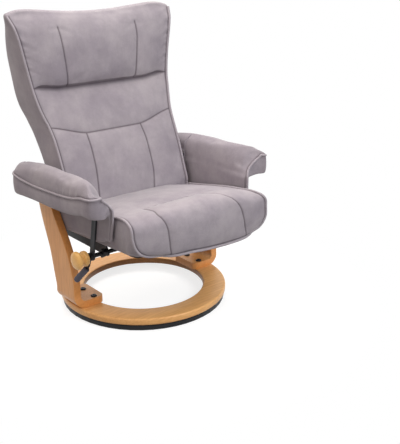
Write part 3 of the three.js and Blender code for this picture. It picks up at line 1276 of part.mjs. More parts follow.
function backStrap(index) {
  const z = BACK_STRAP_FIRST_Z + index * BACK_STRAP_SPACING;
  const half = BACK_TUBE_X - BACK_TUBE_RADIUS - FIT_GAP;
  const [y0, y1] = [spineY(z - BACK_STRAP_WIDTH / 2), spineY(z + BACK_STRAP_WIDTH / 2)];
  const band = new THREE.Shape([
    new THREE.Vector2(y0, z - BACK_STRAP_WIDTH / 2),
    new THREE.Vector2(y0 + STRAP_THICKNESS, z - BACK_STRAP_WIDTH / 2),
    new THREE.Vector2(y1 + STRAP_THICKNESS, z + BACK_STRAP_WIDTH / 2),
    new THREE.Vector2(y1, z + BACK_STRAP_WIDTH / 2),
  ]);
  return alongX(band, -half, half);
}

function strapPocket(index) {
  const z = BACK_STRAP_FIRST_Z + index * BACK_STRAP_SPACING;
  const [low, high] = [z - BACK_STRAP_WIDTH / 2 - POCKET_GAP, z + BACK_STRAP_WIDTH / 2 + POCKET_GAP];
  const band = new THREE.Shape([
    new THREE.Vector2(spineY(low) - POCKET_GAP, low),
    new THREE.Vector2(spineY(low) + STRAP_THICKNESS + POCKET_GAP, low),
    new THREE.Vector2(spineY(high) + STRAP_THICKNESS + POCKET_GAP, high),
    new THREE.Vector2(spineY(high) - POCKET_GAP, high),
  ]);
  return alongX(band, -BACK_TUBE_X, BACK_TUBE_X);
}

// One upholstered length of the back. Its puffs swell between level seams, and upright channels
// divide them. The sides are a gusset that tapers to the raised corners at the top.
function backPad(lowZ, highZ, seams, channelX, hasTop) {
  const heightAt = (across, along) => {
    const dip = hasTop ? BACK_TOP_DIP * (1 - across * across) : 0;
    const corner = hasTop ? BACK_TOP_DIP * Math.abs(across) ** 10 : 0;
    return lowZ + along * (highZ - dip - corner - lowZ);
  };
  const puffAt = (z) => {
    const upper = seams.findIndex((seam) => seam > z - FIT_GAP / 2);
    const top = upper < 0 ? seams.length - 1 : Math.max(1, upper);
    const share = (z - seams[top - 1]) / (seams[top] - seams[top - 1]);
    return Math.sin(Math.PI * clamp(share, 0, 1)) ** BACK_PUFF_FULLNESS_SHARE;
  };
  const frontPoint = (across, along) => {
    const z = heightAt(across, along);
    const { front, halfWidth } = backAt(Math.min(z, BACK_TOP_Z));
    const x = across * halfWidth;
    const swell = BACK_PUFF * puffAt(z) * (1 - across ** 6);
    const lines = channel(x - channelX, BACK_CHANNEL_WIDTH) + channel(x + channelX, BACK_CHANNEL_WIDTH);
    return new THREE.Vector3(x, front - swell + BACK_CHANNEL_DEPTH * lines, z);
  };
  const rearPoint = (across, along) => {
    const z = heightAt(across, along);
    const { front, halfWidth, depth } = backAt(Math.min(z, BACK_TOP_Z));
    const crown = BACK_REAR_CROWN * (1 - across ** 4);
    return new THREE.Vector3(across * (halfWidth - BACK_SIDE_BULGE), front + depth + crown, z);
  };
  return pad(BACK_COLUMNS, BACK_ROWS, frontPoint, rearPoint, BACK_SIDE_BULGE);
}

function steelPockets() {
  const bracket = backBracketShape(POCKET_GAP);
  const shoulder = rodAlongX(STUB_SHOULDER_RADIUS + POCKET_GAP, BRACKET_X, LEG_INNER_X,
    REAR_PIVOT_Y, PIVOT_TOP_Z);
  const pockets = [backHoop(BACK_TUBE_RADIUS + POCKET_GAP)];
  for (const piece of [bracket, shoulder]) {
    pockets.push(piece, mirrored(piece));
  }
  for (let i = 0; i < BACK_STRAP_COUNT; i += 1) {
    pockets.push(strapPocket(i));
  }
  return pockets;
}

place("back_frame", backHoop(BACK_TUBE_RADIUS), BLACK_STEEL);
placePair("back_bracket", backBracket(), BLACK_STEEL);
placePair("pivot_stub", pivotStub(), BRIGHT_STEEL);
for (let i = 0; i < BACK_STRAP_COUNT; i += 1) {
  place(`back_strap_${i + 1}`, backStrap(i), WEBBING);
}
const pockets = steelPockets();
const HEAD_TOP_Z = BACK_TOP_Z + BACK_TOP_DIP;
const lowerPad = backPad(BACK_BOTTOM_Z, BACK_SPLIT_Z - FIT_GAP,
  [BACK_BOTTOM_Z, BACK_MID_SEAM_Z, BACK_SPLIT_Z], BACK_CHANNEL_LOW_X, false);
const headPad = backPad(BACK_SPLIT_Z, HEAD_TOP_Z, [BACK_SPLIT_Z, HEAD_TOP_Z], BACK_CHANNEL_HEAD_X, true);
place("back_cushion", cut(lowerPad, ...pockets), FABRIC);
place("head_cushion", cut(headPad, ...pockets), FABRIC);

export default chair;
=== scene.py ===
# %% [markdown]
# # A swivel recliner in nubuck and bent beech
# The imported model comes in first. Every piece made here sits on it, in metres, with the floor at
# zero and the front of the chair facing -Y. The script then sets up the camera and the studio,
# mixes the finishes, makes the wooden and steel pieces as in a workshop, and last the upholstery.

# %% Load the frame
import json
import math

import bpy
import bmesh
import numpy as np
from mathutils import Matrix, Vector, noise


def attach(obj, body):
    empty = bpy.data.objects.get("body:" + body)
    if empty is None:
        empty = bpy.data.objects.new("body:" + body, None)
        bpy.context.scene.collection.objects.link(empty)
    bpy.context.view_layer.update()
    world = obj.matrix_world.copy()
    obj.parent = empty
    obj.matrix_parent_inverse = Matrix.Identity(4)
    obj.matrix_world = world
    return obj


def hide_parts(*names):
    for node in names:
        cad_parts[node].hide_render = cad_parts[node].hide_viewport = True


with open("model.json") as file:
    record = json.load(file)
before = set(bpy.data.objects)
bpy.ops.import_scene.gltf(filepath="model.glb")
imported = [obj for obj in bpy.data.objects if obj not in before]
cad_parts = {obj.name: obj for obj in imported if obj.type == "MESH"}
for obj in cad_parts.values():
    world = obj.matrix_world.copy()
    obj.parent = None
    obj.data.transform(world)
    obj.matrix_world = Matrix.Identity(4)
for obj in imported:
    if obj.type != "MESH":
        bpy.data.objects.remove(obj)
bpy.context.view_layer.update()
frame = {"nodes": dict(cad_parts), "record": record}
nodes = frame["nodes"]
bpy.ops.object.select_all(action="DESELECT")


def linked(name, data):
    """A new object with this data, linked to the scene."""
    thing = bpy.data.objects.new(name, data)
    bpy.context.collection.objects.link(thing)
    return thing


# %% [markdown]
# ## Camera
# The photograph was taken from the sitter's right, a little above the armrests. Its angle, distance
# and lens follow from the ellipse of the round base. A camera can be aimed with a constraint, but
# plain numbers are easier to check, so its turn is worked out from the line of sight.

# %% Camera
CAMERA_PLACE = Vector((-1.607, -2.247, 1.335))
CAMERA_AZIMUTH = math.radians(-40.3)
CAMERA_HEIGHT_ANGLE = math.radians(20.5)
FOCAL_PIXELS = 747.3
IMAGE_HEIGHT = 444
SENSOR_HEIGHT = 36

sight = -Vector((
    math.sin(CAMERA_AZIMUTH) * math.cos(CAMERA_HEIGHT_ANGLE),
    -math.cos(CAMERA_AZIMUTH) * math.cos(CAMERA_HEIGHT_ANGLE),
    math.sin(CAMERA_HEIGHT_ANGLE),
))
camera_data = bpy.data.cameras.new("camera")
camera_data.sensor_fit = "VERTICAL"
camera_data.sensor_height = SENSOR_HEIGHT
camera_data.lens = FOCAL_PIXELS * SENSOR_HEIGHT / IMAGE_HEIGHT
camera = linked("camera", camera_data)
camera.location = CAMERA_PLACE
camera.rotation_euler = sight.to_track_quat("-Z", "Y").to_euler()
bpy.context.scene.camera = camera
print("camera:", round(camera_data.lens, 1), "mm lens, looks along", [round(v, 3) for v in sight])

# %% [markdown]
# ## Studio
# A product photograph is lit by large soft boxes. Here one stands in front, to the sitter's left,
# so the chair's right side stays in a light shade. Another hangs overhead, one behind lights the
# armrests, and a weak one fills in from the right. The floor and the backdrop only look white to
# the camera and in reflections, and add little light to the chair. The floor shows its shadow close
# to the base and fades to plain white further out, as on a sweep.

# %% Helpers for shader nodes
def fill(node, sockets):
    """Links each socket that is given another socket, and sets the rest to their values."""
    for key, value in sockets.items():
        if isinstance(value, bpy.types.NodeSocket):
            node.id_data.links.new(value, node.inputs[key])
        else:
            node.inputs[key].default_value = value
    return node


def add(tree, kind, sockets=None, **settings):
    """A new node, with its settings before its sockets, as a setting can change which there are."""
    node = tree.nodes.new(kind)
    for key, value in settings.items():
        setattr(node, key, value)
    return fill(node, sockets or {})


def object_coordinates(tree):
    return add(tree, "ShaderNodeTexCoord").outputs["Object"]


print("helpers for nodes are ready")

# %% White for the camera alone
ROOM_TINT, ROOM_STRENGTH = (1.0, 0.925, 0.885), 0.35


def only_in_view(tree, plain, bright):
    """Shows `bright` to the camera, to mirrors and through glass, and lights the scene by `plain`."""
    path = add(tree, "ShaderNodeLightPath")
    seen = path.outputs["Is Camera Ray"]
    for ray in ("Is Glossy Ray", "Is Transmission Ray"):
        either = add(tree, "ShaderNodeMath", {0: seen, 1: path.outputs[ray]}, operation="MAXIMUM")
        seen = either.outputs[0]
    return add(tree, "ShaderNodeMixShader", {"Fac": seen, 1: plain, 2: bright}).outputs[0]


def glow(tree, kind, color, strength):
    return add(tree, kind, {"Color": (*color, 1), "Strength": strength}).outputs[0]


world = bpy.data.worlds.new("studio")
bpy.context.scene.world = world
world.use_nodes = True
tree = world.node_tree
tree.nodes.clear()
room_light = glow(tree, "ShaderNodeBackground", ROOM_TINT, ROOM_STRENGTH)
white = glow(tree, "ShaderNodeBackground", (1, 1, 1), 1.0)
add(tree, "ShaderNodeOutputWorld", {"Surface": only_in_view(tree, room_light, white)})
print("world: white in view, a weak warm light on the chair")

# %% Floor
FLOOR_WIDTH, FLOOR_DROP = 16, 0.0008
FLOOR_GRAY, FLOOR_GLOW = 0.32, 0.78
SHADOW_FULL, SHADOW_GONE = 0.35, 0.95

floor_look = bpy.data.materials.new("studio_floor")
floor_look.use_nodes = True
tree = floor_look.node_tree
tree.nodes.clear()
matt = add(tree, "ShaderNodeBsdfDiffuse", {"Color": (FLOOR_GRAY, FLOOR_GRAY, FLOOR_GRAY, 1)}).outputs[0]
lifted = glow(tree, "ShaderNodeEmission", (1, 1, 1), FLOOR_GLOW)
near = add(tree, "ShaderNodeAddShader", {0: matt, 1: lifted}).outputs[0]
far = glow(tree, "ShaderNodeEmission", (1, 1, 1), 1.0)
radius = add(tree, "ShaderNodeVectorMath", {0: object_coordinates(tree)}, operation="LENGTH")
fade = add(tree, "ShaderNodeMapRange", {"Value": radius.outputs["Value"], "From Min": SHADOW_FULL,
                                        "From Max": SHADOW_GONE}, interpolation_type="SMOOTHSTEP")
seen = add(tree, "ShaderNodeMixShader", {"Fac": fade.outputs["Result"], 1: near, 2: far}).outputs[0]
add(tree, "ShaderNodeOutputMaterial", {"Surface": only_in_view(tree, matt, seen)})

bpy.ops.mesh.primitive_plane_add(size=FLOOR_WIDTH, location=(0, 0, -FLOOR_DROP))
floor = bpy.context.object
floor.name = "studio_floor"
floor.data.materials.append(floor_look)
print("floor:", FLOOR_WIDTH, "m wide, white beyond the shadow")

# %% Lamps
def soft_box(name, place, aim, size, watts, tint):
    lamp = bpy.data.lights.new(name, "AREA")
    lamp.shape = "DISK"
    lamp.size = size
    lamp.energy = watts
    lamp.color = tint
    holder = linked(name, lamp)
    holder.location = place
    holder.rotation_euler = (Vector(aim) - Vector(place)).to_track_quat("-Z", "Y").to_euler()
    print("lamp:", name, watts, "W")


soft_box("key_box", (0.8, -3.4, 2.6), (0, 0, 0.5), 2.0, 100, (0.93, 0.97, 1.0))
soft_box("top_box", (-0.7, 0.1, 3.1), (0, 0, 0.4), 3.6, 87, (1.0, 0.957, 0.905))
soft_box("side_box", (-3.4, -0.6, 1.5), (0, 0, 0.4), 1.8, 9, (1.0, 0.86, 0.79))
soft_box("back_box", (1.3, 1.8, 3.0), (0.2, 0, 0.6), 1.6, 72, (1.0, 0.96, 0.91))
bpy.context.scene.view_settings.view_transform = "Standard"

# %% [markdown]
# ## Finishes
# Every finish is a small recipe of noise textures on Object coordinates, so it needs no picture and
# sits still on its piece. The nubuck has a cloudy nap, a very fine grain and a soft sheen. Its seams
# get painted shade, darker where the cloth dips into a groove; an attribute of the mesh tells where
# they run.

# %% Helpers for finishes
def new_look(name):
    look = bpy.data.materials.new(name)
    look.use_nodes = True
    return look, look.node_tree, look.node_tree.nodes["Principled BSDF"]


def grain(tree, source, scale, detail=3.0, roughness=0.5, stretch=(1, 1, 1)):
    """Noise on a stretched copy of the source coordinates, from 0 to 1."""
    mapping = add(tree, "ShaderNodeMapping", {"Scale": stretch, "Vector": source})
    return add(tree, "ShaderNodeTexNoise", {
        "Scale": scale, "Detail": detail, "Roughness": roughness, "Vector": mapping.outputs["Vector"],
    }).outputs["Fac"]


def ramp(tree, factor, low, high):
    """A colour between two stops, each a place and a colour."""
    node = add(tree, "ShaderNodeValToRGB", {"Fac": factor})
    for element, (place, color) in zip(node.color_ramp.elements, (low, high)):
        element.position = place
        element.color = (*color, 1)
    return node.outputs["Color"]


def multiply(tree, first, *others):
    for other in others:
        first = add(tree, "ShaderNodeMix", {"Factor": 1.0, "A": first, "B": other},
                    data_type="RGBA", blend_type="MULTIPLY").outputs["Result"]
    return first


def bump(tree, height, strength, distance, below=None):
    node = add(tree, "ShaderNodeBump", {"Strength": strength, "Distance": distance, "Height": height})
    if below is not None:
        fill(node, {"Normal": below})
    return node.outputs["Normal"]


def mesh_attribute(tree, name):
    return add(tree, "ShaderNodeAttribute", attribute_name=name).outputs["Fac"]


def gray(value):
    return (value, value, value)


print("helpers for finishes are ready")

# %% Nubuck
def nubuck(name, color, contrast):
    look, tree, shader = new_look(name)
    here = object_coordinates(tree)
    light = tuple(c * (1 + contrast * tint) for c, tint in zip(color, (1, 1, 0.85)))
    dark = tuple(c * (1 - contrast * tint) for c, tint in zip(color, (1, 1.1, 0.9)))
    cloudy = ramp(tree, grain(tree, here, 8, 4, 0.62), (0.34, dark), (0.66, light))
    brushed = ramp(tree, grain(tree, here, 26, 4, 0.65, (1, 1, 0.45)), (0.3, gray(0.9)), (0.7, gray(1)))
    fine = ramp(tree, grain(tree, here, 560, 2, 0.6), (0.3, gray(0.86)), (0.7, gray(1)))
    # painted shade on the seams and beside the piping, read from the mesh's seam attribute
    seam = ramp(tree, mesh_attribute(tree, "seam"), (0.0, gray(1)), (1.0, (0.3, 0.27, 0.29)))
    soft = bump(tree, grain(tree, here, 38, 4, 0.55), 0.22, 0.004)
    fill(shader, {
        "Base Color": multiply(tree, cloudy, brushed, fine, seam), "Roughness": 0.88,
        "Specular IOR Level": 0.2, "Sheen Weight": 0.22, "Sheen Roughness": 0.4,
        "Normal": bump(tree, grain(tree, here, 640, 2, 0.6), 0.4, 0.0006, soft)})
    return look


NUBUCK_COLOR = (0.345, 0.309, 0.338)
NUBUCK = nubuck("nubuck", NUBUCK_COLOR, 0.13)
NUBUCK_PIPING = nubuck("nubuck_piping", tuple(c * 1.12 for c in NUBUCK_COLOR), 0.04)
print("finish: nubuck and its piping")

# %% Wood
def beech(name, light, dark, stretch, pore=0.86, coat=0.15):
    """Fine pores and broad bands, drawn out along the grain by a small scale on that axis."""
    look, tree, shader = new_look(name)
    here = object_coordinates(tree)
    bands = ramp(tree, grain(tree, here, 9, 3, 0.5, stretch), (0.3, dark), (0.7, light))
    fine = grain(tree, here, 150, 3, 0.6, stretch)
    pores = ramp(tree, fine, (0.35, (pore, pore * 0.95, pore * 0.88)), (0.62, gray(1)))
    fill(shader, {
        "Base Color": multiply(tree, bands, pores), "Roughness": 0.42, "Specular IOR Level": 0.3,
        "Coat Weight": coat, "Coat Roughness": 0.22, "Normal": bump(tree, fine, 0.1, 0.0005)})
    return look


def plies(name, light, dark, count):
    """The sawn edge of bent plywood: thin layers side by side, told apart by their grain."""
    look, tree, shader = new_look(name)
    depth = mesh_attribute(tree, "depth")
    layer = add(tree, "ShaderNodeMath", {0: depth, 1: count}, operation="MULTIPLY").outputs[0]
    wave = add(tree, "ShaderNodeMath", {0: layer, 1: 1.0}, operation="PINGPONG").outputs[0]
    layers = ramp(tree, wave, (0.35, dark), (0.65, light))
    pores = ramp(tree, grain(tree, object_coordinates(tree), 90, 4, 0.65),
                 (0.3, (0.86, 0.8, 0.72)), (0.7, gray(1)))
    fill(shader, {
        "Base Color": multiply(tree, layers, pores), "Roughness": 0.5,
        "Coat Weight": 0.2, "Coat Roughness": 0.3, "Normal": bump(tree, wave, 0.15, 0.0004)})
    return look


BEECH_UPRIGHT = beech("beech_upright", (0.8, 0.42, 0.17), (0.62, 0.265, 0.07), (1, 1, 0.08))
BEECH_EDGE = plies("beech_edge", (0.85, 0.38, 0.115), (0.7, 0.29, 0.075), 15)
BEECH_RING = beech("beech_ring", (0.88, 0.49, 0.19), (0.76, 0.38, 0.13), (0.1, 1, 1))
# a darker copy of the ring's beech: painted shade for the ring's inner wall
BEECH_WALL_PAINTED_SHADE = beech("beech_ring_wall_painted_shade", (0.46, 0.215, 0.07), (0.36, 0.15, 0.045), (1, 1, 0.3))
BEECH_TURNED = beech("beech_turned", (0.9, 0.56, 0.2), (0.78, 0.43, 0.13), (0.1, 1, 1), 0.9, 0.25)
print("finish: beech for faces, edges, ring and wheels")

# %% Steel, rubber, nylon and webbing
def coated(name, color, roughness, speckle, grain_scale, depth=0.0002, metallic=0.0):
    look, tree, shader = new_look(name)
    here = object_coordinates(tree)
    low = tuple(c * (1 - speckle) for c in color)
    high = tuple(c * (1 + speckle) for c in color)
    fill(shader, {
        "Base Color": ramp(tree, grain(tree, here, 14, 4, 0.6), (0.35, low), (0.65, high)),
        "Roughness": roughness, "Metallic": metallic, "Specular IOR Level": 0.5 if metallic else 0.25,
        "Normal": bump(tree, grain(tree, here, grain_scale, 2, 0.6), 0.3, depth)})
    return look


LOOKS = {
    "upholstery": NUBUCK,
    "beech": BEECH_UPRIGHT,
    "plywood": beech("plywood", (0.6, 0.42, 0.22), (0.5, 0.33, 0.16), (1, 0.08, 1)),
    "black_steel": coated("black_powder_coat", (0.01, 0.01, 0.012), 0.42, 0.2, 900),
    "dark_steel": coated("dark_powder_coat", (0.015, 0.0165, 0.02), 0.5, 0.18, 900),
    "bright_steel": coated("bright_steel", (0.5, 0.5, 0.52), 0.3, 0.08, 500, 0.0001, 1.0),
    "floor_rubber": coated("floor_rubber", (0.008, 0.008, 0.01), 0.8, 0.2, 400, 0.0003),
    "grip_rubber": coated("grip_rubber", (0.085, 0.08, 0.105), 0.5, 0.12, 500, 0.0003),
    "webbing": coated("webbing", (0.024, 0.023, 0.026), 0.9, 0.25, 700, 0.0006),
    "nylon": coated("nylon", (0.66, 0.63, 0.55), 0.45, 0.05, 400, 0.0001),
}
for part in frame["record"]["subparts"]:
    node = nodes[part["node"]]
    node.data.materials.clear()
    node.data.materials.append(LOOKS[part["material_slot"]])
print("finish: a recipe on each of", len(nodes), "nodes")

# %% [markdown]
# ## Workshop helpers
# New pieces start from a primitive. An operator acts on all that is selected, so everything is
# deselected first, and a finished piece is named, given its finish and its body.

# %% Helpers for meshes
SIDES = (("left", 1), ("right", -1))
SAME_PLACE = 0.00002


def coordinates(piece):
    places = np.zeros(len(piece.data.vertices) * 3)
    piece.data.vertices.foreach_get("co", places)
    return places.reshape(-1, 3)


def set_coordinates(piece, places):
    piece.data.vertices.foreach_set("co", np.asarray(places, float).ravel())
    piece.data.update()


def vertex_normals(piece):
    values = np.zeros(len(piece.data.vertices) * 3)
    piece.data.vertex_normals.foreach_get("vector", values)
    return values.reshape(-1, 3)


def set_attribute(piece, name, values):
    """A number on every point. Points past the end of `values` get zero."""
    padded = np.zeros(len(piece.data.vertices))
    padded[:len(values)] = values
    piece.data.attributes.new(name, "FLOAT", "POINT").data.foreach_set("value", padded)


def outward(piece):
    """Turns every face outwards."""
    work = bmesh.new()
    work.from_mesh(piece.data)
    bmesh.ops.recalc_face_normals(work, faces=work.faces)
    work.to_mesh(piece.data)
    work.free()


def select_only(piece):
    bpy.ops.object.select_all(action="DESELECT")
    bpy.context.view_layer.objects.active = piece
    piece.select_set(True)


def apply_modifier(piece, kind, **settings):
    """Adds a modifier, sets it and applies it."""
    modifier = piece.modifiers.new(kind.lower(), kind)
    for key, value in settings.items():
        setattr(modifier, key, value)
    select_only(piece)
    bpy.ops.object.modifier_apply(modifier=modifier.name)


def started(name):
    """The primitive that was just added, under its own name."""
    piece = bpy.context.object
    piece.name = piece.data.name = name
    return piece


def finished(piece, slot, body, *replaced, look=None):
    """Gives a piece its finish, from its slot unless a look is given, and its body, and hides the nodes
    that it stands for.
    """
    piece.data.materials.clear()
    piece.data.materials.append(look or LOOKS[slot])
    if replaced:
        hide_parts(*replaced)
    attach(piece, body)
    print("piece:", piece.name, len(piece.data.polygons), "faces on", body)


def shade_by_angle(piece, degrees):
    select_only(piece)
    bpy.ops.object.shade_smooth_by_angle(angle=math.radians(degrees))


def smooth(value, low, high):
    """Rises from 0 at `low` to 1 at `high`."""
    share = np.clip((np.asarray(value, float) - low) / (high - low), 0, 1)
    return share * share * (3 - 2 * share)


def window(value, rise, fall):
    """1 between two slopes, up through the places in `rise` and down through those in `fall`."""
    return smooth(value, *rise) * (1 - smooth(value, *fall))


def bell(value, middle, reach):
    """1 at the middle, and close to 0 at twice its reach."""
    return np.exp(-((value - middle) / reach) ** 2)


def read_curve(places, values, at):
    """A smooth curve through a table, with no overshoot between its rows."""
    places, values = np.asarray(places, float), np.asarray(values, float)
    step = np.diff(places)
    slope = np.diff(values) / step
    tangent = np.zeros(len(values))
    tangent[0], tangent[-1] = slope[0], slope[-1]
    same = slope[:-1] * slope[1:] > 0
    mean = 2 * slope[:-1] * slope[1:] / np.where(same, slope[:-1] + slope[1:], 1)
    tangent[1:-1] = np.where(same, mean, 0)
    at = np.clip(np.asarray(at, float), places[0], places[-1])
    row = np.clip(np.searchsorted(places, at, side="right") - 1, 0, len(step) - 1)
    t = (at - places[row]) / step[row]
    first = (2 * t**3 - 3 * t**2 + 1) * values[row] + (t**3 - 2 * t**2 + t) * step[row] * tangent[row]
    last = (3 * t**2 - 2 * t**3) * values[row + 1] + (t**3 - t**2) * step[row] * tangent[row + 1]
    return first + last


def look_up(table, at, column=1):
    """A smooth curve through one column of a table that has its places in the first column."""
    return read_curve(table[:, 0], table[:, column], at)


def turned(name, outline, steps):
    """A closed outline of (radius, height), spun round the vertical axis."""
    bpy.ops.object.select_all(action="DESELECT")
    bpy.ops.mesh.primitive_circle_add(vertices=len(outline), fill_type="NOTHING")
    piece = started(name)
    set_coordinates(piece, [(radius, 0, height) for radius, height in outline])
    bpy.ops.object.mode_set(mode="EDIT")
    bpy.ops.mesh.select_all(action="SELECT")
    bpy.ops.mesh.spin(steps=steps, angle=2 * math.pi, center=(0, 0, 0), axis=(0, 0, 1))
    bpy.ops.mesh.select_all(action="SELECT")
    bpy.ops.mesh.remove_doubles(threshold=SAME_PLACE)
    bpy.ops.mesh.delete_loose()
    bpy.ops.mesh.select_all(action="SELECT")
    bpy.ops.mesh.normals_make_consistent(inside=False)
    bpy.ops.object.mode_set(mode="OBJECT")
    return piece


print("helpers for meshes are ready")

# %% [markdown]
# ## Base ring
# The ring is glued up from beech segments and turned on a lathe, with rounded edges. A torus
# would give a round tube, so its section is drawn as a rounded rectangle and spun once round. Its
# inner wall, which faces into the hollow, gets a darker copy of the beech as painted shade.

# %% Base ring
RING_IN, RING_OUT, RING_LOW, RING_HIGH, RING_ROUND = 0.24, 0.33, 0.0235, 0.051, 0.007


def rounded_rectangle(left, low, right, high, radius, steps):
    points = []
    corners = ((right - radius, low + radius, -90), (right - radius, high - radius, 0),
               (left + radius, high - radius, 90), (left + radius, low + radius, 180))
    for x, z, start in corners:
        for step in range(steps + 1):
            angle = math.radians(start + 90 * step / steps)
            points.append((x + radius * math.cos(angle), z + radius * math.sin(angle)))
    return points


section = rounded_rectangle(RING_IN, RING_LOW, RING_OUT, RING_HIGH, RING_ROUND, 5)
ring = turned("base_ring_turned", section, 160)
finished(ring, "beech", "turntable", "base_ring", look=BEECH_RING)
# faces turned into the hollow get the darker copy, painted shade on the inner wall
ring.data.materials.append(BEECH_WALL_PAINTED_SHADE)
for face in ring.data.polygons:
    radial = Vector((face.center.x, face.center.y, 0)).normalized()
    face.material_index = 1 if face.normal.dot(radial) < -0.75 else 0
shade_by_angle(ring, 40)

# %% [markdown]
# ## Bent legs
# Each leg is a board of thin beech layers, bent to an L in a mould and sawn to its curved outline.
# The same order works here: a flat grid is laid along the bend, its columns are moved to the sawn
# outline, Solidify gives it 28 mm, and Bevel breaks the edges. The sawn edges show the layers.

# %% Bent legs
LEG_OUT, LEG_TOE, LEG_LOW, LEG_HIGH = 0.35, 0.223, 0.0513, 0.5053
LEG_THICK, LEG_BEND, LEG_EASED = 0.028, 0.048, 0.003
LEG_FRONT, LEG_SWEEP, TOE_ROUND = -0.052, 0.24, 0.02
# height, front edge, rear edge, as shares
LEG_SIDES = np.array([
    (0, 0, 0.575), (0.062, 0.008, 0.567), (0.12, 0.022, 0.548), (0.226, 0.02, 0.588),
    (0.32, 0.055, 0.625), (0.437, 0.125, 0.675), (0.554, 0.233, 0.758), (0.69, 0.4, 0.858),
    (0.822, 0.55, 0.933), (1, 0.683, 0.992)])
foot_run = LEG_OUT - LEG_BEND - LEG_TOE
bend_run = LEG_BEND * math.pi / 2
whole_run = foot_run + bend_run + (LEG_HIGH - LEG_LOW - LEG_BEND)


def leg_row(run):
    """Where the board's outer face is after `run` metres from the toe, and its two edges there."""
    if run < foot_run:
        x, z = LEG_TOE + run, LEG_LOW
    elif run < foot_run + bend_run:
        angle = (run - foot_run) / LEG_BEND
        x = LEG_OUT - LEG_BEND + LEG_BEND * math.sin(angle)
        z = LEG_LOW + LEG_BEND * (1 - math.cos(angle))
    else:
        x, z = LEG_OUT, LEG_LOW + LEG_BEND + run - foot_run - bend_run
    share = (z - LEG_LOW) / (LEG_HIGH - LEG_LOW)
    front, rear = [LEG_FRONT + LEG_SWEEP * float(look_up(LEG_SIDES, share, i)) for i in (1, 2)]
    if run < TOE_ROUND:
        inset = TOE_ROUND - math.sqrt(TOE_ROUND**2 - (TOE_ROUND - run) ** 2)
        front, rear = front + inset, rear - inset
    return x, z, front, rear


runs = np.concatenate([TOE_ROUND * (1 - np.cos(np.linspace(0, math.pi / 2, 9)))[:-1],
                       np.linspace(TOE_ROUND, foot_run, 6)[:-1],
                       np.linspace(foot_run, foot_run + bend_run, 19)[:-1],
                       np.linspace(foot_run + bend_run, whole_run, 42)])
LEG_COLUMNS = 9
bend_x, bend_z = LEG_OUT - LEG_BEND, LEG_LOW + LEG_BEND
for side_name, way in SIDES:
    bpy.ops.object.select_all(action="DESELECT")
    bpy.ops.mesh.primitive_grid_add(x_subdivisions=LEG_COLUMNS - 1, y_subdivisions=len(runs) - 1)
    leg = started("leg_bent_" + side_name)
    grid = []
    for run in runs:
        x, z, front, rear = leg_row(float(run))
        grid += [(way * x, y, z) for y in np.linspace(front, rear, LEG_COLUMNS)]
    set_coordinates(leg, grid)
    apply_modifier(leg, "SOLIDIFY", thickness=LEG_THICK, offset=-way, use_even_offset=True)
    apply_modifier(leg, "BEVEL", width=LEG_EASED, segments=3, limit_method="ANGLE",
                   angle_limit=math.radians(50))
    outward(leg)
    places = coordinates(leg)
    from_bend = np.stack([np.abs(places[:, 0]) - bend_x, bend_z - places[:, 2]], axis=1)
    around = np.linalg.norm(np.maximum(from_bend, 0), axis=1)
    set_attribute(leg, "depth", (LEG_BEND - around) / LEG_THICK)
    finished(leg, "beech", "turntable", "leg_" + side_name)
    leg.data.materials.append(BEECH_EDGE)
    for face in leg.data.polygons:
        out_x, out_z = max(abs(face.center.x) - bend_x, 0.0), max(bend_z - face.center.z, 0.0)
        thick = Vector((way * out_x, 0, -out_z)).normalized()
        face.material_index = 1 if abs(face.normal.dot(thick)) < 0.5 else 0
    shade_by_angle(leg, 35)
    print("leg:", side_name, "from", places[:, 2].min().round(4), "to", places[:, 2].max().round(4))

# %% [markdown]
# ## Hand wheels and lever grip
# The wheels are turned from beech: two round lobes with a waist and a fine groove. The grip of the
# lever is a rubber sleeve with shallow finger rings. Both are lathe work, so both are spun.

# %% Hand wheels
WHEEL_START, WHEEL_LENGTH, WHEEL_RADIUS = 0.345, 0.052, 0.033
WHEEL_Y, WHEEL_Z = -0.141, 0.294
# place along the wheel and radius, as shares
WHEEL_PROFILE = [
    (0, 0.24), (0, 0.42), (0, 0.7), (0.04, 0.79), (0.09, 0.84), (0.14, 0.845), (0.17, 0.8), (0.19, 0.8),
    (0.22, 0.85), (0.27, 0.85), (0.32, 0.79), (0.37, 0.67), (0.42, 0.58), (0.46, 0.57), (0.51, 0.66),
    (0.56, 0.8), (0.62, 0.92), (0.69, 0.985), (0.77, 1), (0.85, 0.97), (0.91, 0.89), (0.96, 0.73),
    (0.99, 0.5), (1, 0.26), (1, 0)]
WHEEL_BORE, WHEEL_BORE_DEPTH = 0.24, 32 / 52
outline = [(r * WHEEL_RADIUS, a * WHEEL_LENGTH) for a, r in WHEEL_PROFILE]
outline += [(0, WHEEL_BORE_DEPTH * WHEEL_LENGTH),
            (WHEEL_BORE * WHEEL_RADIUS, WHEEL_BORE_DEPTH * WHEEL_LENGTH)]
for side_name, way in SIDES:
    wheel = turned("hand_wheel_turned_" + side_name, outline, 64)
    turn = Matrix.Rotation(way * math.pi / 2, 4, "Y")
    wheel.data.transform(Matrix.Translation((way * WHEEL_START, WHEEL_Y, WHEEL_Z)) @ turn)
    finished(wheel, "beech", "wheel_" + side_name, "hand_wheel_" + side_name, look=BEECH_TURNED)
    shade_by_angle(wheel, 50)

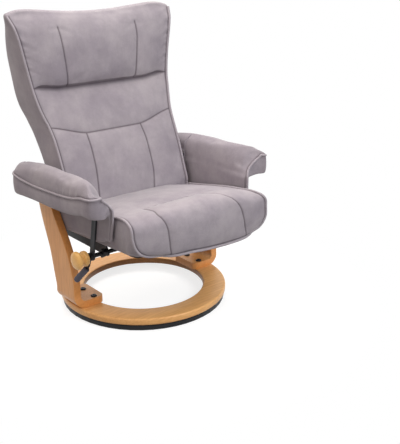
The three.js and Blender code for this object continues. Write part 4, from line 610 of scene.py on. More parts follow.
# %% Lever grip
GRIP_START = Vector((-0.341, -0.137, 0.254))
GRIP_TIP = Vector((-0.366, -0.091, 0.193))
GRIP_THICK, GRIP_BORE, GRIP_BORE_END = 0.012, 0.0046, 0.067
GRIP_FOOT, GRIP_RING = 0.004, 0.0009
along_grip = (GRIP_TIP - GRIP_START).normalized()
grip_length = (GRIP_TIP - GRIP_START).length
outline = [(GRIP_BORE, GRIP_FOOT), (0.0098, GRIP_FOOT), (0.0106, 1.5 * GRIP_FOOT)]
for step in range(25):
    along = step / 24
    dent = GRIP_RING * (0.5 - 0.5 * math.cos(8 * math.pi * along)) * smooth(along, 0, 0.2)
    straight = grip_length - GRIP_THICK - 2 * GRIP_FOOT
    outline.append((GRIP_THICK - float(dent), 2 * GRIP_FOOT + straight * along))
for step in range(1, 9):
    angle = math.pi / 2 * step / 8
    outline.append((GRIP_THICK * math.cos(angle), grip_length - GRIP_THICK * (1 - math.sin(angle))))
outline += [(0, GRIP_BORE_END), (GRIP_BORE, GRIP_BORE_END)]
grip = turned("lever_grip_sleeve", outline, 40)
turn = along_grip.to_track_quat("Z", "Y").to_matrix().to_4x4()
grip.data.transform(Matrix.Translation(GRIP_START) @ turn)
finished(grip, "grip_rubber", "lever", "lever_grip")
shade_by_angle(grip, 50)

# %% [markdown]
# ## Boards in the armrests
# Each armrest is screwed to its leg through a plywood board, which only shows from below. It is cut
# short of the padded front. A cube is given the board's size, and Bevel takes off its sharp edges.

# %% Boards in the armrests
BOARD_X, BOARD_Y, BOARD_Z = 0.353, 0.004, 0.5126
BOARD_SIZE, BOARD_EASED = (0.058, 0.468, 0.014), 0.002
for side_name, way in SIDES:
    bpy.ops.object.select_all(action="DESELECT")
    place = (way * BOARD_X, BOARD_Y, BOARD_Z)
    bpy.ops.mesh.primitive_cube_add(size=1, location=place, scale=BOARD_SIZE)
    board = started("arm_board_cut_" + side_name)
    bpy.ops.object.transform_apply(location=True, rotation=True, scale=True)
    apply_modifier(board, "BEVEL", width=BOARD_EASED, segments=2)
    finished(board, "plywood", "turntable", "arm_board_" + side_name)

# %% [markdown]
# ## Steel with broken edges
# Laser-cut plate has its edges broken before it is coated, and a coated edge catches the light. The
# links, hangers, collars and bolts are copied, the loose triangles of each copy are merged back into
# whole faces, and Bevel rounds the sharp edges by about a millimetre or less.

# %% Steel
# node: name of the eased piece, slot, body and width of the broken edge
STEEL = {
    "swing_link": ("link_plate", "dark_steel", "swing_frame", 0.0012),
    "front_hanger": ("hanger_plate", "black_steel", "turntable", 0.0007),
    "shaft_collar": ("collar_nut", "black_steel", "swing_frame", 0.0006),
    "leg_bolt": ("socket_bolt", "black_steel", "turntable", 0.0005),
}


def eased(node, name, slot, body, width):
    piece = linked(name, nodes[node].data.copy())
    piece.data.name = name
    select_only(piece)
    bpy.ops.object.mode_set(mode="EDIT")
    bpy.ops.mesh.select_all(action="SELECT")
    bpy.ops.mesh.remove_doubles(threshold=SAME_PLACE)
    bpy.ops.mesh.dissolve_limited(angle_limit=math.radians(1))
    bpy.ops.object.mode_set(mode="OBJECT")
    apply_modifier(piece, "BEVEL", width=width, segments=2, limit_method="ANGLE",
                   angle_limit=math.radians(40), use_clamp_overlap=True)
    finished(piece, slot, body, node)
    shade_by_angle(piece, 35)


for side_name, _ in SIDES:
    for node, (name, slot, body, width) in STEEL.items():
        for end in ("_front", "_rear") if node == "leg_bolt" else ("",):
            tail = "_" + side_name + end
            eased(node + tail, name + tail, slot, body, width)

# %% [markdown]
# ## How the upholstery is made
# A cushion is a cover sewn from panels and pulled tight over foam. Its outline could be sculpted,
# but a sewn cover is easier to describe as two sheets, the front panel and the back of the cushion,
# with a strip of cloth all round between them. The seams are rows of the front sheet that are held
# back while Blender's Cloth blows the rest up a little, as foam does. The way a point moves is
# capped, so the cushion keeps its size.

# %% Helpers for sheets and shells
STRIP_LEVELS = 9
# how far an extra row of points keeps the even rows away
CLEARING = 1.35


def lines_near(start, end, count, seams, spread, end_spread=()):
    """Even places from start to end, with extra ones close beside each seam and each end."""
    offsets = [0.0] + [side * gap for gap in spread for side in (-1, 1)]
    extra = [seam + offset for seam in seams for offset in offsets]
    extra += [start + gap for gap in end_spread] + [end - gap for gap in end_spread]
    kept = []
    for place in np.linspace(start, end, count):
        clear = all(abs(place - seam) > max(spread) * CLEARING for seam in seams)
        if end_spread:
            clear = clear and min(place - start, end - place) > max(end_spread) * CLEARING
        if clear or place in (start, end):
            kept.append(place)
    return np.array(sorted(kept + [e for e in extra if start < e < end]))


def seam_from_middle(across, along, left, right):
    """Distance of the upright seams from the middle, from a table for each side."""
    return np.where(across > 0, look_up(left, along), look_up(right, along))


def spread_across(across, seam_share, seam_x, half):
    """Places from side to side: even up to the seam, and even again from there to the edge."""
    inner = np.abs(across) / seam_share
    outer = (np.abs(across) - seam_share) / (1 - seam_share)
    return np.sign(across) * np.where(inner < 1, inner * seam_x, seam_x + outer * (half - seam_x))


def from_faces(name, points, faces):
    mesh = bpy.data.meshes.new(name)
    mesh.from_pydata(np.asarray(points).tolist(), [], faces)
    piece = linked(name, mesh)
    outward(piece)
    return piece


def shell(name, front, back, bulge):
    """A closed mesh from two grids of points, and strips of cloth between their edges."""
    rows, columns = front.shape[:2]
    order = [(0, c) for c in range(columns - 1)] + [(r, columns - 1) for r in range(rows - 1)]
    order += [(rows - 1, c) for c in range(columns - 1, 0, -1)]
    order += [(r, 0) for r in range(rows - 1, 0, -1)]
    row, column = np.array(order).T
    edge_front, edge_back = front[row, column], back[row, column]
    puffed = bulge(row, column, rows, columns)
    points = [front.reshape(-1, 3), back.reshape(-1, 3)]
    size = rows * columns
    loops = [(row * columns + column).tolist()]
    for level in range(1, STRIP_LEVELS):
        share = level / STRIP_LEVELS
        points.append(edge_front * (1 - share) + edge_back * share + puffed * math.sin(math.pi * share))
        start = 2 * size + (level - 1) * len(order)
        loops.append(list(range(start, start + len(order))))
    loops.append([size + i for i in loops[0]])
    faces = []
    for r in range(rows - 1):
        for c in range(columns - 1):
            a, b = r * columns + c, r * columns + c + 1
            d, e = (r + 1) * columns + c + 1, (r + 1) * columns + c
            faces.append((a, b, d, e))
            faces.append((size + a, size + e, size + d, size + b))
    for upper, lower in zip(loops, loops[1:]):
        for i in range(len(order)):
            j = (i + 1) % len(order)
            faces.append((upper[j], upper[i], lower[i], lower[j]))
    piece = from_faces(name, np.concatenate(points), faces)
    print("shell:", name, len(piece.data.vertices), "points")
    return piece


def side_of(column, columns):
    """-1 in the first column, 1 in the last one, and 0 between them."""
    return 1.0 * (column == columns - 1) - (column == 0)


def layout(front):
    """Size of a panel, and the row and column of each of its points."""
    rows, columns = front.shape[:2]
    return rows, columns, np.repeat(np.arange(rows), columns), np.tile(np.arange(columns), rows)


def distance_to(points, targets):
    found = np.zeros(len(points))
    for i in range(0, len(points), 400):
        gaps = points[i:i + 400, None, :] - targets[None]
        found[i:i + 400] = np.sqrt((gaps**2).sum(-1).min(1))
    return found


print("helpers for sheets are ready")

# %% Helpers for seams and folds
GROOVE_WIDTH, DIP_WIDTH = 0.0045, 0.02
SEAM_LINE, CORNER_LINE, CORNER_FROM_EDGE = 0.0024, 0.0032, 0.0052
EDGE_SINK, EDGE_FADE, SEAM_FADE = 0.007, 0.05, 0.03
STRIP_HOLD = 0.35


def grooves(distance, narrow, wide):
    """How far the cloth is held back beside a seam: a narrow groove in a shallow dip."""
    return narrow * bell(distance, 0, GROOVE_WIDTH) + wide * bell(distance, 0, DIP_WIDTH)


def seam_shade(to_seam, to_edge):
    """Painted shade: dark on a seam and in the corner where the panel meets its piping."""
    line = bell(to_seam, 0, SEAM_LINE)
    corner = 0.9 * bell(to_edge, CORNER_FROM_EDGE, CORNER_LINE)
    return np.clip(np.maximum(line, corner), 0, 1)


def puckers(run, distance, reach):
    """Short folds that start at a seam and die out into the panel."""
    folds = np.sin(run / 0.0042 + 3 * np.sin(run / 0.031)) + 0.7 * np.sin(run / 0.0067 + 1.3)
    return folds * np.exp(-distance / reach) * smooth(distance, 0.002, 0.012)


def unevenness(points, size):
    """Smooth noise from -1 to 1, the same each time, with lumps of about `size` metres."""
    return np.array([noise.noise(Vector(p) / size) for p in points])


def push_out(piece, amounts):
    """Moves the first points along their normals, by these amounts, and gives all points back."""
    places, count = coordinates(piece), len(amounts)
    places[:count] += vertex_normals(piece)[:count] * amounts[:, None]
    set_coordinates(piece, places)
    return places


def held_points(piece, still):
    """1 where the panel is still and on the back sheet, and less on the strip between them."""
    hold = np.ones(len(piece.data.vertices))
    hold[:len(still)] = still
    hold[2 * len(still):] = STRIP_HOLD
    return hold


print("helpers for seams are ready")

# %% Helpers for foam and piping
CLOTH = {
    "quality": 4, "use_pressure": True, "uniform_pressure_force": 4,
    "tension_stiffness": 15, "compression_stiffness": 15, "bending_stiffness": 2,
}
CLOTH_FRAMES = 20
PIPING_STEP = 0.006


def blow_up(piece, hold, cap):
    """Cloth under pressure, held where `hold` is 1. No point moves further than `cap`."""
    group = piece.vertex_groups.new(name="held")
    for weight in np.unique(np.round(hold, 2)):
        if weight > 0:
            held = np.nonzero(np.abs(hold - weight) < 0.006)[0]
            group.add(held.tolist(), float(weight), "REPLACE")
    cloth = piece.modifiers.new("cloth", "CLOTH")
    for key, value in CLOTH.items():
        setattr(cloth.settings, key, value)
    cloth.settings.effector_weights.gravity = 0
    cloth.settings.vertex_group_mass = "held"
    cloth.collision_settings.use_collision = False
    cloth.point_cache.frame_start = 1
    cloth.point_cache.frame_end = CLOTH_FRAMES
    before = coordinates(piece)
    for step in range(1, CLOTH_FRAMES + 1):
        bpy.context.scene.frame_set(step)
    move = coordinates(piece.evaluated_get(bpy.context.evaluated_depsgraph_get())) - before
    length = np.linalg.norm(move, axis=1)
    print("cloth:", piece.name, "moved", round(length.max() * 1000), "mm, capped at", cap * 1000)
    limited = cap * np.tanh(length / cap)
    piece.modifiers.remove(cloth)
    set_coordinates(piece, before + move * (limited / np.maximum(length, 1e-9))[:, None])
    bpy.context.scene.frame_set(1)


def soften(piece, fill, body, *replaced):
    """One subdivision, smooth shading, and the upholstery finish and body."""
    apply_modifier(piece, "SUBSURF", levels=1, render_levels=1)
    piece.data.shade_smooth()
    finished(piece, "upholstery", body, *replaced)


def even_path(points, spacing):
    """The same path with evenly spaced points."""
    points = np.asarray(points, float)
    run = np.concatenate([[0], np.cumsum(np.linalg.norm(np.diff(points, axis=0), axis=1))])
    at = np.linspace(0, run[-1], max(2, int(run[-1] / spacing)))
    return np.stack([np.interp(at, run, points[:, i]) for i in range(3)], axis=1)


def piping(name, path, radius, body):
    """A cord in its cloth cover, swept along a path."""
    path = even_path(path, PIPING_STEP)
    curve = bpy.data.curves.new(name, "CURVE")
    curve.dimensions = "3D"
    curve.bevel_depth = radius
    curve.bevel_resolution = 2
    curve.use_fill_caps = True
    spline = curve.splines.new("POLY")
    spline.points.add(len(path) - 1)
    spline.points.foreach_set("co", np.hstack([path, np.ones((len(path), 1))]).ravel())
    drawn = linked(name + "_line", curve)
    mesh = bpy.data.meshes.new_from_object(drawn)
    bpy.data.objects.remove(drawn)
    mesh.name = name
    mesh.shade_smooth()
    finished(linked(name, mesh), "upholstery", body, look=NUBUCK_PIPING)


print("helpers for soft pieces are ready")

# %% [markdown]
# ## Seat
# The seat is one deep cushion. Its panel starts below the back, runs forward, rolls over the nose
# and ends in a narrow lower edge with round corners. A level seam lies across the top, and from its
# ends two more run over the nose to the lower edge. Piping runs along both sides and the lower edge.

# %% Seat: the panel
SEAT_REAR, SEAT_FRONT, SEAT_TOE_Y = 0.104, -0.4, -0.353
SEAT_LOW, SEAT_HIGH = 0.317, 0.492
SEAT_HALF, SEAT_NOSE_HALF, SEAT_TOE_HALF = 0.288, 0.307, 0.19
SEAT_CROWN, SEAT_ROUND = 0.02, 0.026
SEAT_SEAM_SHARE, SEAT_SEAM_LIMIT = 0.6, 0.88
CROSS_SEAM_Y, CROSS_SEAM_TUCK = -0.25, 0.01
# how much of the narrowing each side of the toe gets
TOE_TAPER_LEFT, TOE_TAPER_RIGHT = 0.62, 1.2
# the sitter's left side is drawn in halfway, flares at the nose and drops at its rear corner
LEFT_TUCK, LEFT_FLARE, LEFT_DROP = 0.017, 0.01, 0.019
# row: depth, height, widening, narrowing, place below
SEAT_ROWS = np.array([
    (0, 0.52, 0, 0, 0), (0.08, 0.565, 0, 0, 0.09), (0.2, 0.635, 0, 0, 0.22), (0.4, 0.765, 0, 0, 0.43),
    (0.58, 0.875, 0.02, 0, 0.6), (0.7, 0.94, 0.06, 0, 0.71), (0.79, 0.985, 0.2, 0, 0.78),
    (0.86, 1, 0.6, 0, 0.83), (0.92, 0.975, 0.95, 0, 0.865), (0.965, 0.89, 1, 0, 0.89),
    (0.99, 0.76, 1, 0, 0.91), (1, 0.59, 1, 0.03, 0.93), (1, 0.41, 1, 0.1, 0.95),
    (0.995, 0.23, 1, 0.24, 0.967), (0.983, 0.09, 1, 0.5, 0.984), (0.966, 0, 1, 1, 1)])
# distance from the middle, to the sitter's left, and how much lower than SEAT_LOW the toe hangs there
SEAT_TOE_DROP = np.array([(-0.31, -0.016), (-0.17, -0.01), (-0.08, -0.007), (0, 0.002), (0.1, 0.008),
                          (0.23, 0.01), (0.31, 0.004)])
# place along the panel and distance of the seam from the middle, for the sitter's left and right
SEAT_SEAM_LEFT = np.array([(0, 0.12), (0.3, 0.096), (0.338, 0.088), (0.4, 0.102), (0.477, 0.122),
                           (0.62, 0.152), (0.733, 0.172), (0.843, 0.189), (0.93, 0.199), (1, 0.203)])
SEAT_SEAM_RIGHT = np.array([(0, 0.16), (0.345, 0.173), (0.4, 0.172), (0.52, 0.184), (0.62, 0.178),
                            (0.7, 0.171), (0.8, 0.165), (0.93, 0.157), (1, 0.15)])


def seat_row(along):
    places = np.linspace(0, 1, len(SEAT_ROWS))
    return [read_curve(places, SEAT_ROWS[:, i], along) for i in range(5)]


on_top = np.linspace(0, 0.75, 1501)
cross_seam_depth = (SEAT_REAR - CROSS_SEAM_Y) / (SEAT_REAR - SEAT_FRONT)
cross_seam_at = float(np.interp(cross_seam_depth, seat_row(on_top)[0], on_top))
seat_across = lines_near(-1, 1, 57, (-SEAT_SEAM_SHARE, SEAT_SEAM_SHARE),
                         (0.007, 0.017, 0.036), (0.017, 0.029, 0.05))
seat_along = lines_near(0, 1, 80, (cross_seam_at,),
                        (0.0033, 0.0075, 0.015), (0.008, 0.0135, 0.022))
across, along = np.meshgrid(seat_across, seat_along)
depth, height, widening, narrowing, below = seat_row(along)
on_left = across > 0
narrowing = narrowing * np.where(on_left, TOE_TAPER_LEFT, TOE_TAPER_RIGHT)
half = SEAT_HALF + widening * (SEAT_NOSE_HALF - SEAT_HALF)
half = half - narrowing * (SEAT_NOSE_HALF - SEAT_TOE_HALF)
half = half - on_left * LEFT_TUCK * bell(along, 0.5, 0.11)
half = half + on_left * LEFT_FLARE * smooth(along, 0.72, 0.85)
seam_x = seam_from_middle(across, along, SEAT_SEAM_LEFT, SEAT_SEAM_RIGHT)
x = spread_across(across, SEAT_SEAM_SHARE, np.minimum(seam_x, half * SEAT_SEAM_LIMIT), half)
side = np.abs(x / half)
nose = smooth(along, 0.5, 0.72)
crown = SEAT_CROWN * (0.3 + 0.7 * smooth(along, 0, 0.42))
sag = crown * side**3 * (1 - nose) + SEAT_ROUND * side**6 * nose * height
rear_drop = LEFT_DROP * smooth(x, 0.1, 0.3) * (1 - smooth(along, 0.5, 0.8))
lean = -look_up(SEAT_TOE_DROP, x) * smooth(along, 0.72, 0.95)
turn_in = -CROSS_SEAM_TUCK * smooth(x, 0.045, 0.1) * bell(along, cross_seam_at, 0.05)
seat_front = np.stack([
    x,
    SEAT_REAR + depth * (SEAT_FRONT - SEAT_REAR) + nose * side**6 * SEAT_ROUND + turn_in,
    SEAT_LOW + height * (SEAT_HIGH - SEAT_LOW) - sag - rear_drop + lean,
], axis=-1)
print("seat panel:", seat_front.shape[:2], "points, cross seam at", round(cross_seam_at, 3))

# %% Seat: the underside with its pocket for the steel frame
POCKET_X, POCKET_FRONT, POCKET_REAR, POCKET_TOP = 0.2632, -0.3215, 0.0835, 0.3456
# shares of the half-width at which the pocket and its wall end, and the places where they end
POCKET_SHARE, WALL_SHARE, POCKET_WALL = 0.86, 0.9, 0.002
UNDER_HALF, UNDER_INSET, UNDER_RISE, TOE_THICK = 0.285, 0.003, 0.028, 0.005
SIDE_BULGE, REAR_BULGE, TOE_BULGE, BULGE_START = 0.012, 0.006, 0.01, 0.72
share = np.abs(across)
plan = np.interp(share, (0, POCKET_SHARE, WALL_SHARE, 1),
                 (0, POCKET_X, POCKET_X + POCKET_WALL, UNDER_HALF))
low_x = np.sign(across) * plan * (np.minimum(SEAT_HALF, half) - UNDER_INSET) / UNDER_HALF
low_y = SEAT_REAR + below * (SEAT_TOE_Y + TOE_THICK - SEAT_REAR)
rise = np.minimum(UNDER_RISE * below, height * (SEAT_HIGH - SEAT_LOW) / 2) * share**4 + lean
in_pocket = (np.abs(low_x) <= POCKET_X + 0.0002) & (low_y > POCKET_FRONT) & (low_y < POCKET_REAR)
seat_back = np.stack([low_x, low_y, np.where(in_pocket, POCKET_TOP, SEAT_LOW + rise)], axis=-1)


def seat_bulge(row, column, rows, columns):
    """How far the strip of cloth stands out beside the panel, most of all at the nose."""
    side = side_of(column, columns)
    at_nose = np.abs(side) * np.maximum(row / rows - BULGE_START, 0) / (1 - BULGE_START)
    ends = REAR_BULGE * (row == 0) - TOE_BULGE * (row == rows - 1)
    return np.stack([SIDE_BULGE * side, ends - REAR_BULGE * at_nose, 0 * side], axis=1)


seat = shell("seat_upholstery", seat_front, seat_back, seat_bulge)

# %% [markdown]
# Before the cloth is blown up, the panel is drawn back a little along its seams and its edge, so that
# it swells out to its real size. The seams get a narrow groove, as wide as the turned-in cloth.

# %% Seat: foam, seams and piping
PIPING_RADIUS, SWELL_CAP, CUSHION_FILL = 0.0047, 0.011, 0.7
SEAT_GROOVE, SEAT_DIP, SEAT_LUMPS, SEAT_RIPPLES = 0.003, 0.003, 0.0018, 0.0012
# how far the piping stands off the panel's edge, and how far it hangs off its toe
PIPING_LIFT, PIPING_OUT, TOE_HANG = 0.001, 0.0015, (0, -0.0015, -0.0028)
rows, columns, row_of, column_of = layout(seat_front)
count = rows * columns
cross_row = np.argmin(np.abs(seat_along - cross_seam_at))
left_seam = np.argmin(np.abs(seat_across - SEAT_SEAM_SHARE))
right_seam = columns - 1 - left_seam
edge = (row_of == rows - 1) | (column_of == 0) | (column_of == columns - 1)
on_upright = ((column_of == left_seam) | (column_of == right_seam)) & (row_of >= cross_row)
on_cross = (row_of == cross_row) & (column_of >= right_seam) & (column_of <= left_seam)
on_seam = on_upright | on_cross
panel, normal = coordinates(seat)[:count], vertex_normals(seat)
to_seam = distance_to(panel, panel[on_seam])
to_edge = distance_to(panel, panel[edge])
sink = grooves(to_seam, SEAT_GROOVE, SEAT_DIP) * smooth(to_edge, 0, SEAM_FADE)
start = push_out(seat, -sink - EDGE_SINK * smooth(to_edge, 0, EDGE_FADE))
between = (column_of > right_seam + 2) & (column_of < left_seam - 2)
beside_cross = between & (np.abs(row_of - cross_row) < 4)
# painted shade on the seams, a quarter lighter beside the level seam across the top
set_attribute(seat, "seam", seam_shade(to_seam, to_edge) * np.where(beside_cross, 0.75, 1))
blow_up(seat, held_points(seat, edge | on_seam | (row_of == 0)), SWELL_CAP)

panel = coordinates(seat)[:count]
lumps = SEAT_LUMPS * unevenness(panel, 0.07)
lumps = lumps * smooth(to_seam, 0, SEAM_FADE) * smooth(to_edge, 0, SEAM_FADE)
gathered = window(panel[:, 0], (-0.2, -0.14), (0.02, 0.08))
near_seam = bell(panel[:, 1] - CROSS_SEAM_Y, -0.004, 0.02) * (panel[:, 2] > 0.44)
ripples = np.sin(panel[:, 0] / 0.0046 + 2 * np.sin(panel[:, 0] / 0.03))
push_out(seat, lumps + SEAT_RIPPLES * ripples * gathered * near_seam)
soften(seat, CUSHION_FILL, "seat", "seat_cushion")

edge_run = [(r, 0) for r in range(2, rows)] + [(rows - 1, c) for c in range(1, columns)]
edge_run += [(r, columns - 1) for r in range(rows - 2, 1, -1)]
row, column = np.array(edge_run).T
path = start[row * columns + column] + PIPING_LIFT * normal[row * columns + column]
path[:, 0] += PIPING_OUT * side_of(column, columns)
path[row == rows - 1] += TOE_HANG
piping("seat_piping", path, PIPING_RADIUS, "seat")

# %% [markdown]
# ## Back
# The back is one tall cushion. Its panel is sewn in three lengths, the head length above a deep
# crease, and the piping runs up each side only, because the panel wraps over the top.

# %% Back: the panel
BACK_LOW, BACK_PROFILE_LOW, BACK_HIGH, BACK_RISE = 0.386, 0.419, 1.089, 0.029
BACK_FRONT, BACK_LEAN, BACK_DEPTH = 0.06, 0.22, 0.17
BACK_HALF, BACK_FLARE, BACK_INSET = 0.276, 0.085, 0.005
BACK_SWELL, HEAD_SWELL, HEAD_TOP = 0.022, 1.25, BACK_HIGH + 0.03
REAR_CROWN, REAR_BELLY = 0.016, 0.006
CREASE_Z, MID_SEAM_Z, BACK_SEAM_SHARE = 0.819, 0.663, 0.5
# the top edge dips in the middle and at its tips, and the level seams rise towards the sides
TOP_DIP, TIP_DIP, MID_SEAM_LIFT, CREASE_LIFT = 0.036, 0.03, 0.03, 0.013
BACK_SIDE_BULGE, BACK_TOP_BULGE, BACK_LOW_BULGE = 0.008, 0.01, 0.006
# height, front edge, half-width, depth
BACK_ROWS = np.array([
    (0, 0, 0, 0.8), (0.1, 0.11, 0, 0.82), (0.2, 0.218, 0, 0.86), (0.33, 0.39, 0.01, 0.93),
    (0.41, 0.52, 0.07, 0.97), (0.478, 0.627, 0.2, 0.98), (0.534, 0.695, 0.29, 0.96),
    (0.62, 0.777, 0.39, 0.9), (0.76, 0.83, 0.57, 0.83), (0.87, 0.85, 0.73, 0.68),
    (0.935, 0.885, 0.85, 0.5), (1, 1, 1, 0.2)])
# height and distance of the upright seams from the middle, for the sitter's left and right
BACK_SEAM_LEFT = np.array([(0.4, 0.1), (0.505, 0.118), (0.6, 0.118), (0.663, 0.114), (0.819, 0.152),
                           (0.87, 0.155), (0.94, 0.162), (1.035, 0.17), (1.12, 0.17)])
BACK_SEAM_RIGHT = np.array([(0.4, 0.158), (0.53, 0.142), (0.6, 0.139), (0.663, 0.138), (0.819, 0.158),
                            (0.9, 0.165), (0.98, 0.171), (1.12, 0.18)])


def back_at(z):
    share = np.clip((z - BACK_PROFILE_LOW) / (BACK_HIGH - BACK_PROFILE_LOW), 0, 1)
    front, width, depth = [look_up(BACK_ROWS, share, i) for i in (1, 2, 3)]
    return BACK_FRONT + BACK_LEAN * front, BACK_HALF + BACK_FLARE * width, BACK_DEPTH * depth


def puff(z, low, high, fullness):
    return np.sin(math.pi * np.clip((z - low) / (high - low), 0, 1)) ** fullness


def back_bulge(row, column, rows, columns):
    side = side_of(column, columns)
    ends = BACK_TOP_BULGE * (row == rows - 1) - BACK_LOW_BULGE * (row == 0)
    return np.stack([BACK_SIDE_BULGE * side, 0 * side, ends], axis=1)


back_z = lines_near(BACK_LOW, BACK_HIGH + BACK_RISE, 98, (MID_SEAM_Z, CREASE_Z),
                    (0.0022, 0.005, 0.0105))
back_across = lines_near(-1, 1, 61, (-BACK_SEAM_SHARE, BACK_SEAM_SHARE),
                         (0.007, 0.018, 0.036), (0.018, 0.031, 0.052))
across, level = np.meshgrid(back_across, back_z)
z = level - smooth(level, 0.9, BACK_HIGH + BACK_RISE) * (
    TOP_DIP * (1 - across**2) + TIP_DIP * np.abs(across) ** 8)
wide = 0.29 * np.abs(across)
z += MID_SEAM_LIFT * smooth(wide, 0.13, 0.285) * bell(level, MID_SEAM_Z, 0.075)
z += CREASE_LIFT * smooth(wide, 0.17, 0.285) * bell(level, CREASE_Z, 0.06)
front_y, half, depth = back_at(z)
seam_x = seam_from_middle(across, level, BACK_SEAM_LEFT, BACK_SEAM_RIGHT)
x = spread_across(across, BACK_SEAM_SHARE, seam_x, half)
side = np.abs(x / half)
near_mid_seam = 1 - 0.2 * bell(level, MID_SEAM_Z, 0.03)
head_share = np.clip((level - CREASE_Z) / (HEAD_TOP - CREASE_Z), 0, 1)
swell = np.where(level < CREASE_Z, near_mid_seam * puff(level, BACK_LOW - 0.1, CREASE_Z, 0.6),
                 HEAD_SWELL * puff(head_share**0.75, 0, 1, 0.55))
back_front = np.stack([x, front_y - BACK_SWELL * swell * (1 - side**6), z], axis=-1)
belly = (REAR_BELLY + 0.015 * bell(z, 0.72, 0.13)) * (1 - smooth(z, 0.98, 1.06))
rear_y = front_y + depth + (REAR_CROWN * (1 - side**4) + belly)
back_rear = np.stack([x * (half - BACK_INSET) / half, rear_y, z], axis=-1)
back = shell("back_upholstery", back_front, back_rear, back_bulge)

# %% Back: foam, seams and piping
SEAM_TOP = 1.08
BACK_GROOVE, BACK_DIP, BACK_LUMPS, SMALL_LUMPS = 0.0028, 0.002, 0.0018, 0.0008
HEAD_FOLDS, FOLDS_BELOW = 0.0025, 0.15
# the crease is a cut in a wider dip: depth and width of the cut, and of the dip above and below it
CREASE_CUT, CREASE_CUT_WIDTH = 0.006, 0.006
DIP_ABOVE, DIP_ABOVE_WIDTH, DIP_BELOW, DIP_BELOW_WIDTH = 0.008, 0.032, 0.003, 0.014
rows, columns, row_of, column_of = layout(back_front)
count = rows * columns
left_seam = np.argmin(np.abs(back_across - BACK_SEAM_SHARE))
crease_row, mid_row = [np.argmin(np.abs(back_z - place)) for place in (CREASE_Z, MID_SEAM_Z)]
edge = (column_of == 0) | (column_of == columns - 1)
on_column = (column_of == left_seam) | (column_of == columns - 1 - left_seam)
level_of = level.ravel()
has_upright = (level_of < MID_SEAM_Z) | ((level_of > CREASE_Z) & (level_of < SEAM_TOP))
on_crease, over_crease = row_of == crease_row, row_of >= crease_row
on_seam = on_crease | (row_of == mid_row) | (on_column & has_upright)
panel = coordinates(back)[:count]
to_crease = distance_to(panel, panel[on_crease])
to_seam = distance_to(panel, panel[on_seam])
to_edge = distance_to(panel, panel[edge])
sink = grooves(distance_to(panel, panel[on_seam & ~on_crease]), BACK_GROOVE, BACK_DIP)
sink += CREASE_CUT * bell(to_crease, 0, CREASE_CUT_WIDTH)
dip_width = np.where(over_crease, DIP_ABOVE_WIDTH, DIP_BELOW_WIDTH)
sink += np.where(over_crease, DIP_ABOVE, DIP_BELOW) * bell(to_crease, 0, dip_width)
sink = sink * smooth(to_edge, 0, 0.035) + EDGE_SINK * smooth(to_edge, 0, EDGE_FADE)
start = push_out(back, -sink)
# painted shade on the seams, the crease and beside the piping
set_attribute(back, "seam", seam_shade(to_seam, to_edge))
blow_up(back, held_points(back, edge | on_seam | (row_of == 0)), SWELL_CAP)

panel = coordinates(back)[:count]
lumps = BACK_LUMPS * unevenness(panel, 0.08) + SMALL_LUMPS * unevenness(panel + 3.0, 0.03)
lumps *= smooth(to_seam, 0, SEAM_FADE) * smooth(to_edge, 0, SEAM_FADE)
on_head = window(panel[:, 2], (0.86, 0.9), (1.04, 1.07))
folds = puckers(panel[:, 2] - 0.5 * np.abs(panel[:, 0]), to_edge, 0.024)
push_out(back, lumps + HEAD_FOLDS * folds * (FOLDS_BELOW + on_head))
soften(back, CUSHION_FILL, "backrest", "back_cushion", "head_cushion")
for (side_name, way), column in zip(SIDES, (columns - 1, 0)):
    path = start[:count].reshape(rows, columns, 3)[:, column] + np.array([way * 0.0012, -0.0012, 0])
    piping("back_piping_" + side_name, path, PIPING_RADIUS, "backrest")

# %% [markdown]
# ## Armrests
# Each armrest is a padded board. Its panel starts at the lower edge of a flap beside the seat, sweeps
# out and over the crest and ends at the outer piping. A band hangs outside, turns round the front and
# hides the steel. It is lofted from cross-sections, as the ribs of a boat carry its planks.

# %% Armrests: cross-sections
ARM_IN, ARM_OUT, ARM_CREST = 0.305, 0.402, 0.602
ARM_FRONT, ARM_REAR, ARM_REAR_CORNER = -0.29, 0.286, 0.034
FLAP_REAR, FLAP_SIDE, FLAP_HEM = 0.11, 0.318, 0.003
# height at which the flap turns into the rounded top, and the same above the hollow's rear
SWEEP_Z, HOLLOW_SWEEP_Z = 0.486, 0.518
HOLLOW_FRONT, HOLLOW_REAR, HOLLOW_TOP = -0.256, 0.244, 0.5205
BAND_THICK, BAND_PUFF, BAND_TUCK = 0.015, 0.003, 0.012
FLAP_POINTS, PANEL_POINTS, BAND_POINTS, ARM_RINGS = 9, 30, 7, 84
# place, outer seam, band bottom, crest, width, lean to the front tip
ARM_STATIONS = np.array([
    (0, 0.938, 0.816, 0.942, 1, 1), (0.03, 0.935, 0.813, 0.966, 1, 0.75),
    (0.1, 0.916, 0.808, 0.996, 1, 0.3), (0.22, 0.885, 0.781, 1, 1, 0.08),
    (0.36, 0.868, 0.766, 1, 1, 0), (0.52, 0.858, 0.758, 0.998, 1, 0),
    (0.68, 0.85, 0.754, 0.99, 1, 0), (0.84, 0.852, 0.745, 0.966, 1, 0),
    (0.94, 0.862, 0.738, 0.944, 1, 0), (1, 0.872, 0.75, 0.918, 0.97, 0)])
# how far out the top is, in shares, with its rise to the crest and its fall to the outer seam
ARM_TOP = np.array([0, 0.06, 0.15, 0.3, 0.5, 0.68, 0.83, 0.94, 0.98])
ARM_TIP = np.array([0, 0.26, 0.56, 0.88, 0.975, 0.983, 0.988, 0.992, 0.996])
ARM_RISE, ARM_FALL = (0, 0.36, 0.64, 0.87, 1), (0.95, 0.75, 0.42, 0)
# place along the armrest and height of the flap's lower edge
FLAP_EDGE = np.array([(-0.3, 0.384), (-0.24, 0.379), (-0.18, 0.365), (-0.12, 0.362),
                      (0.03, 0.347), (0.12, 0.346)])
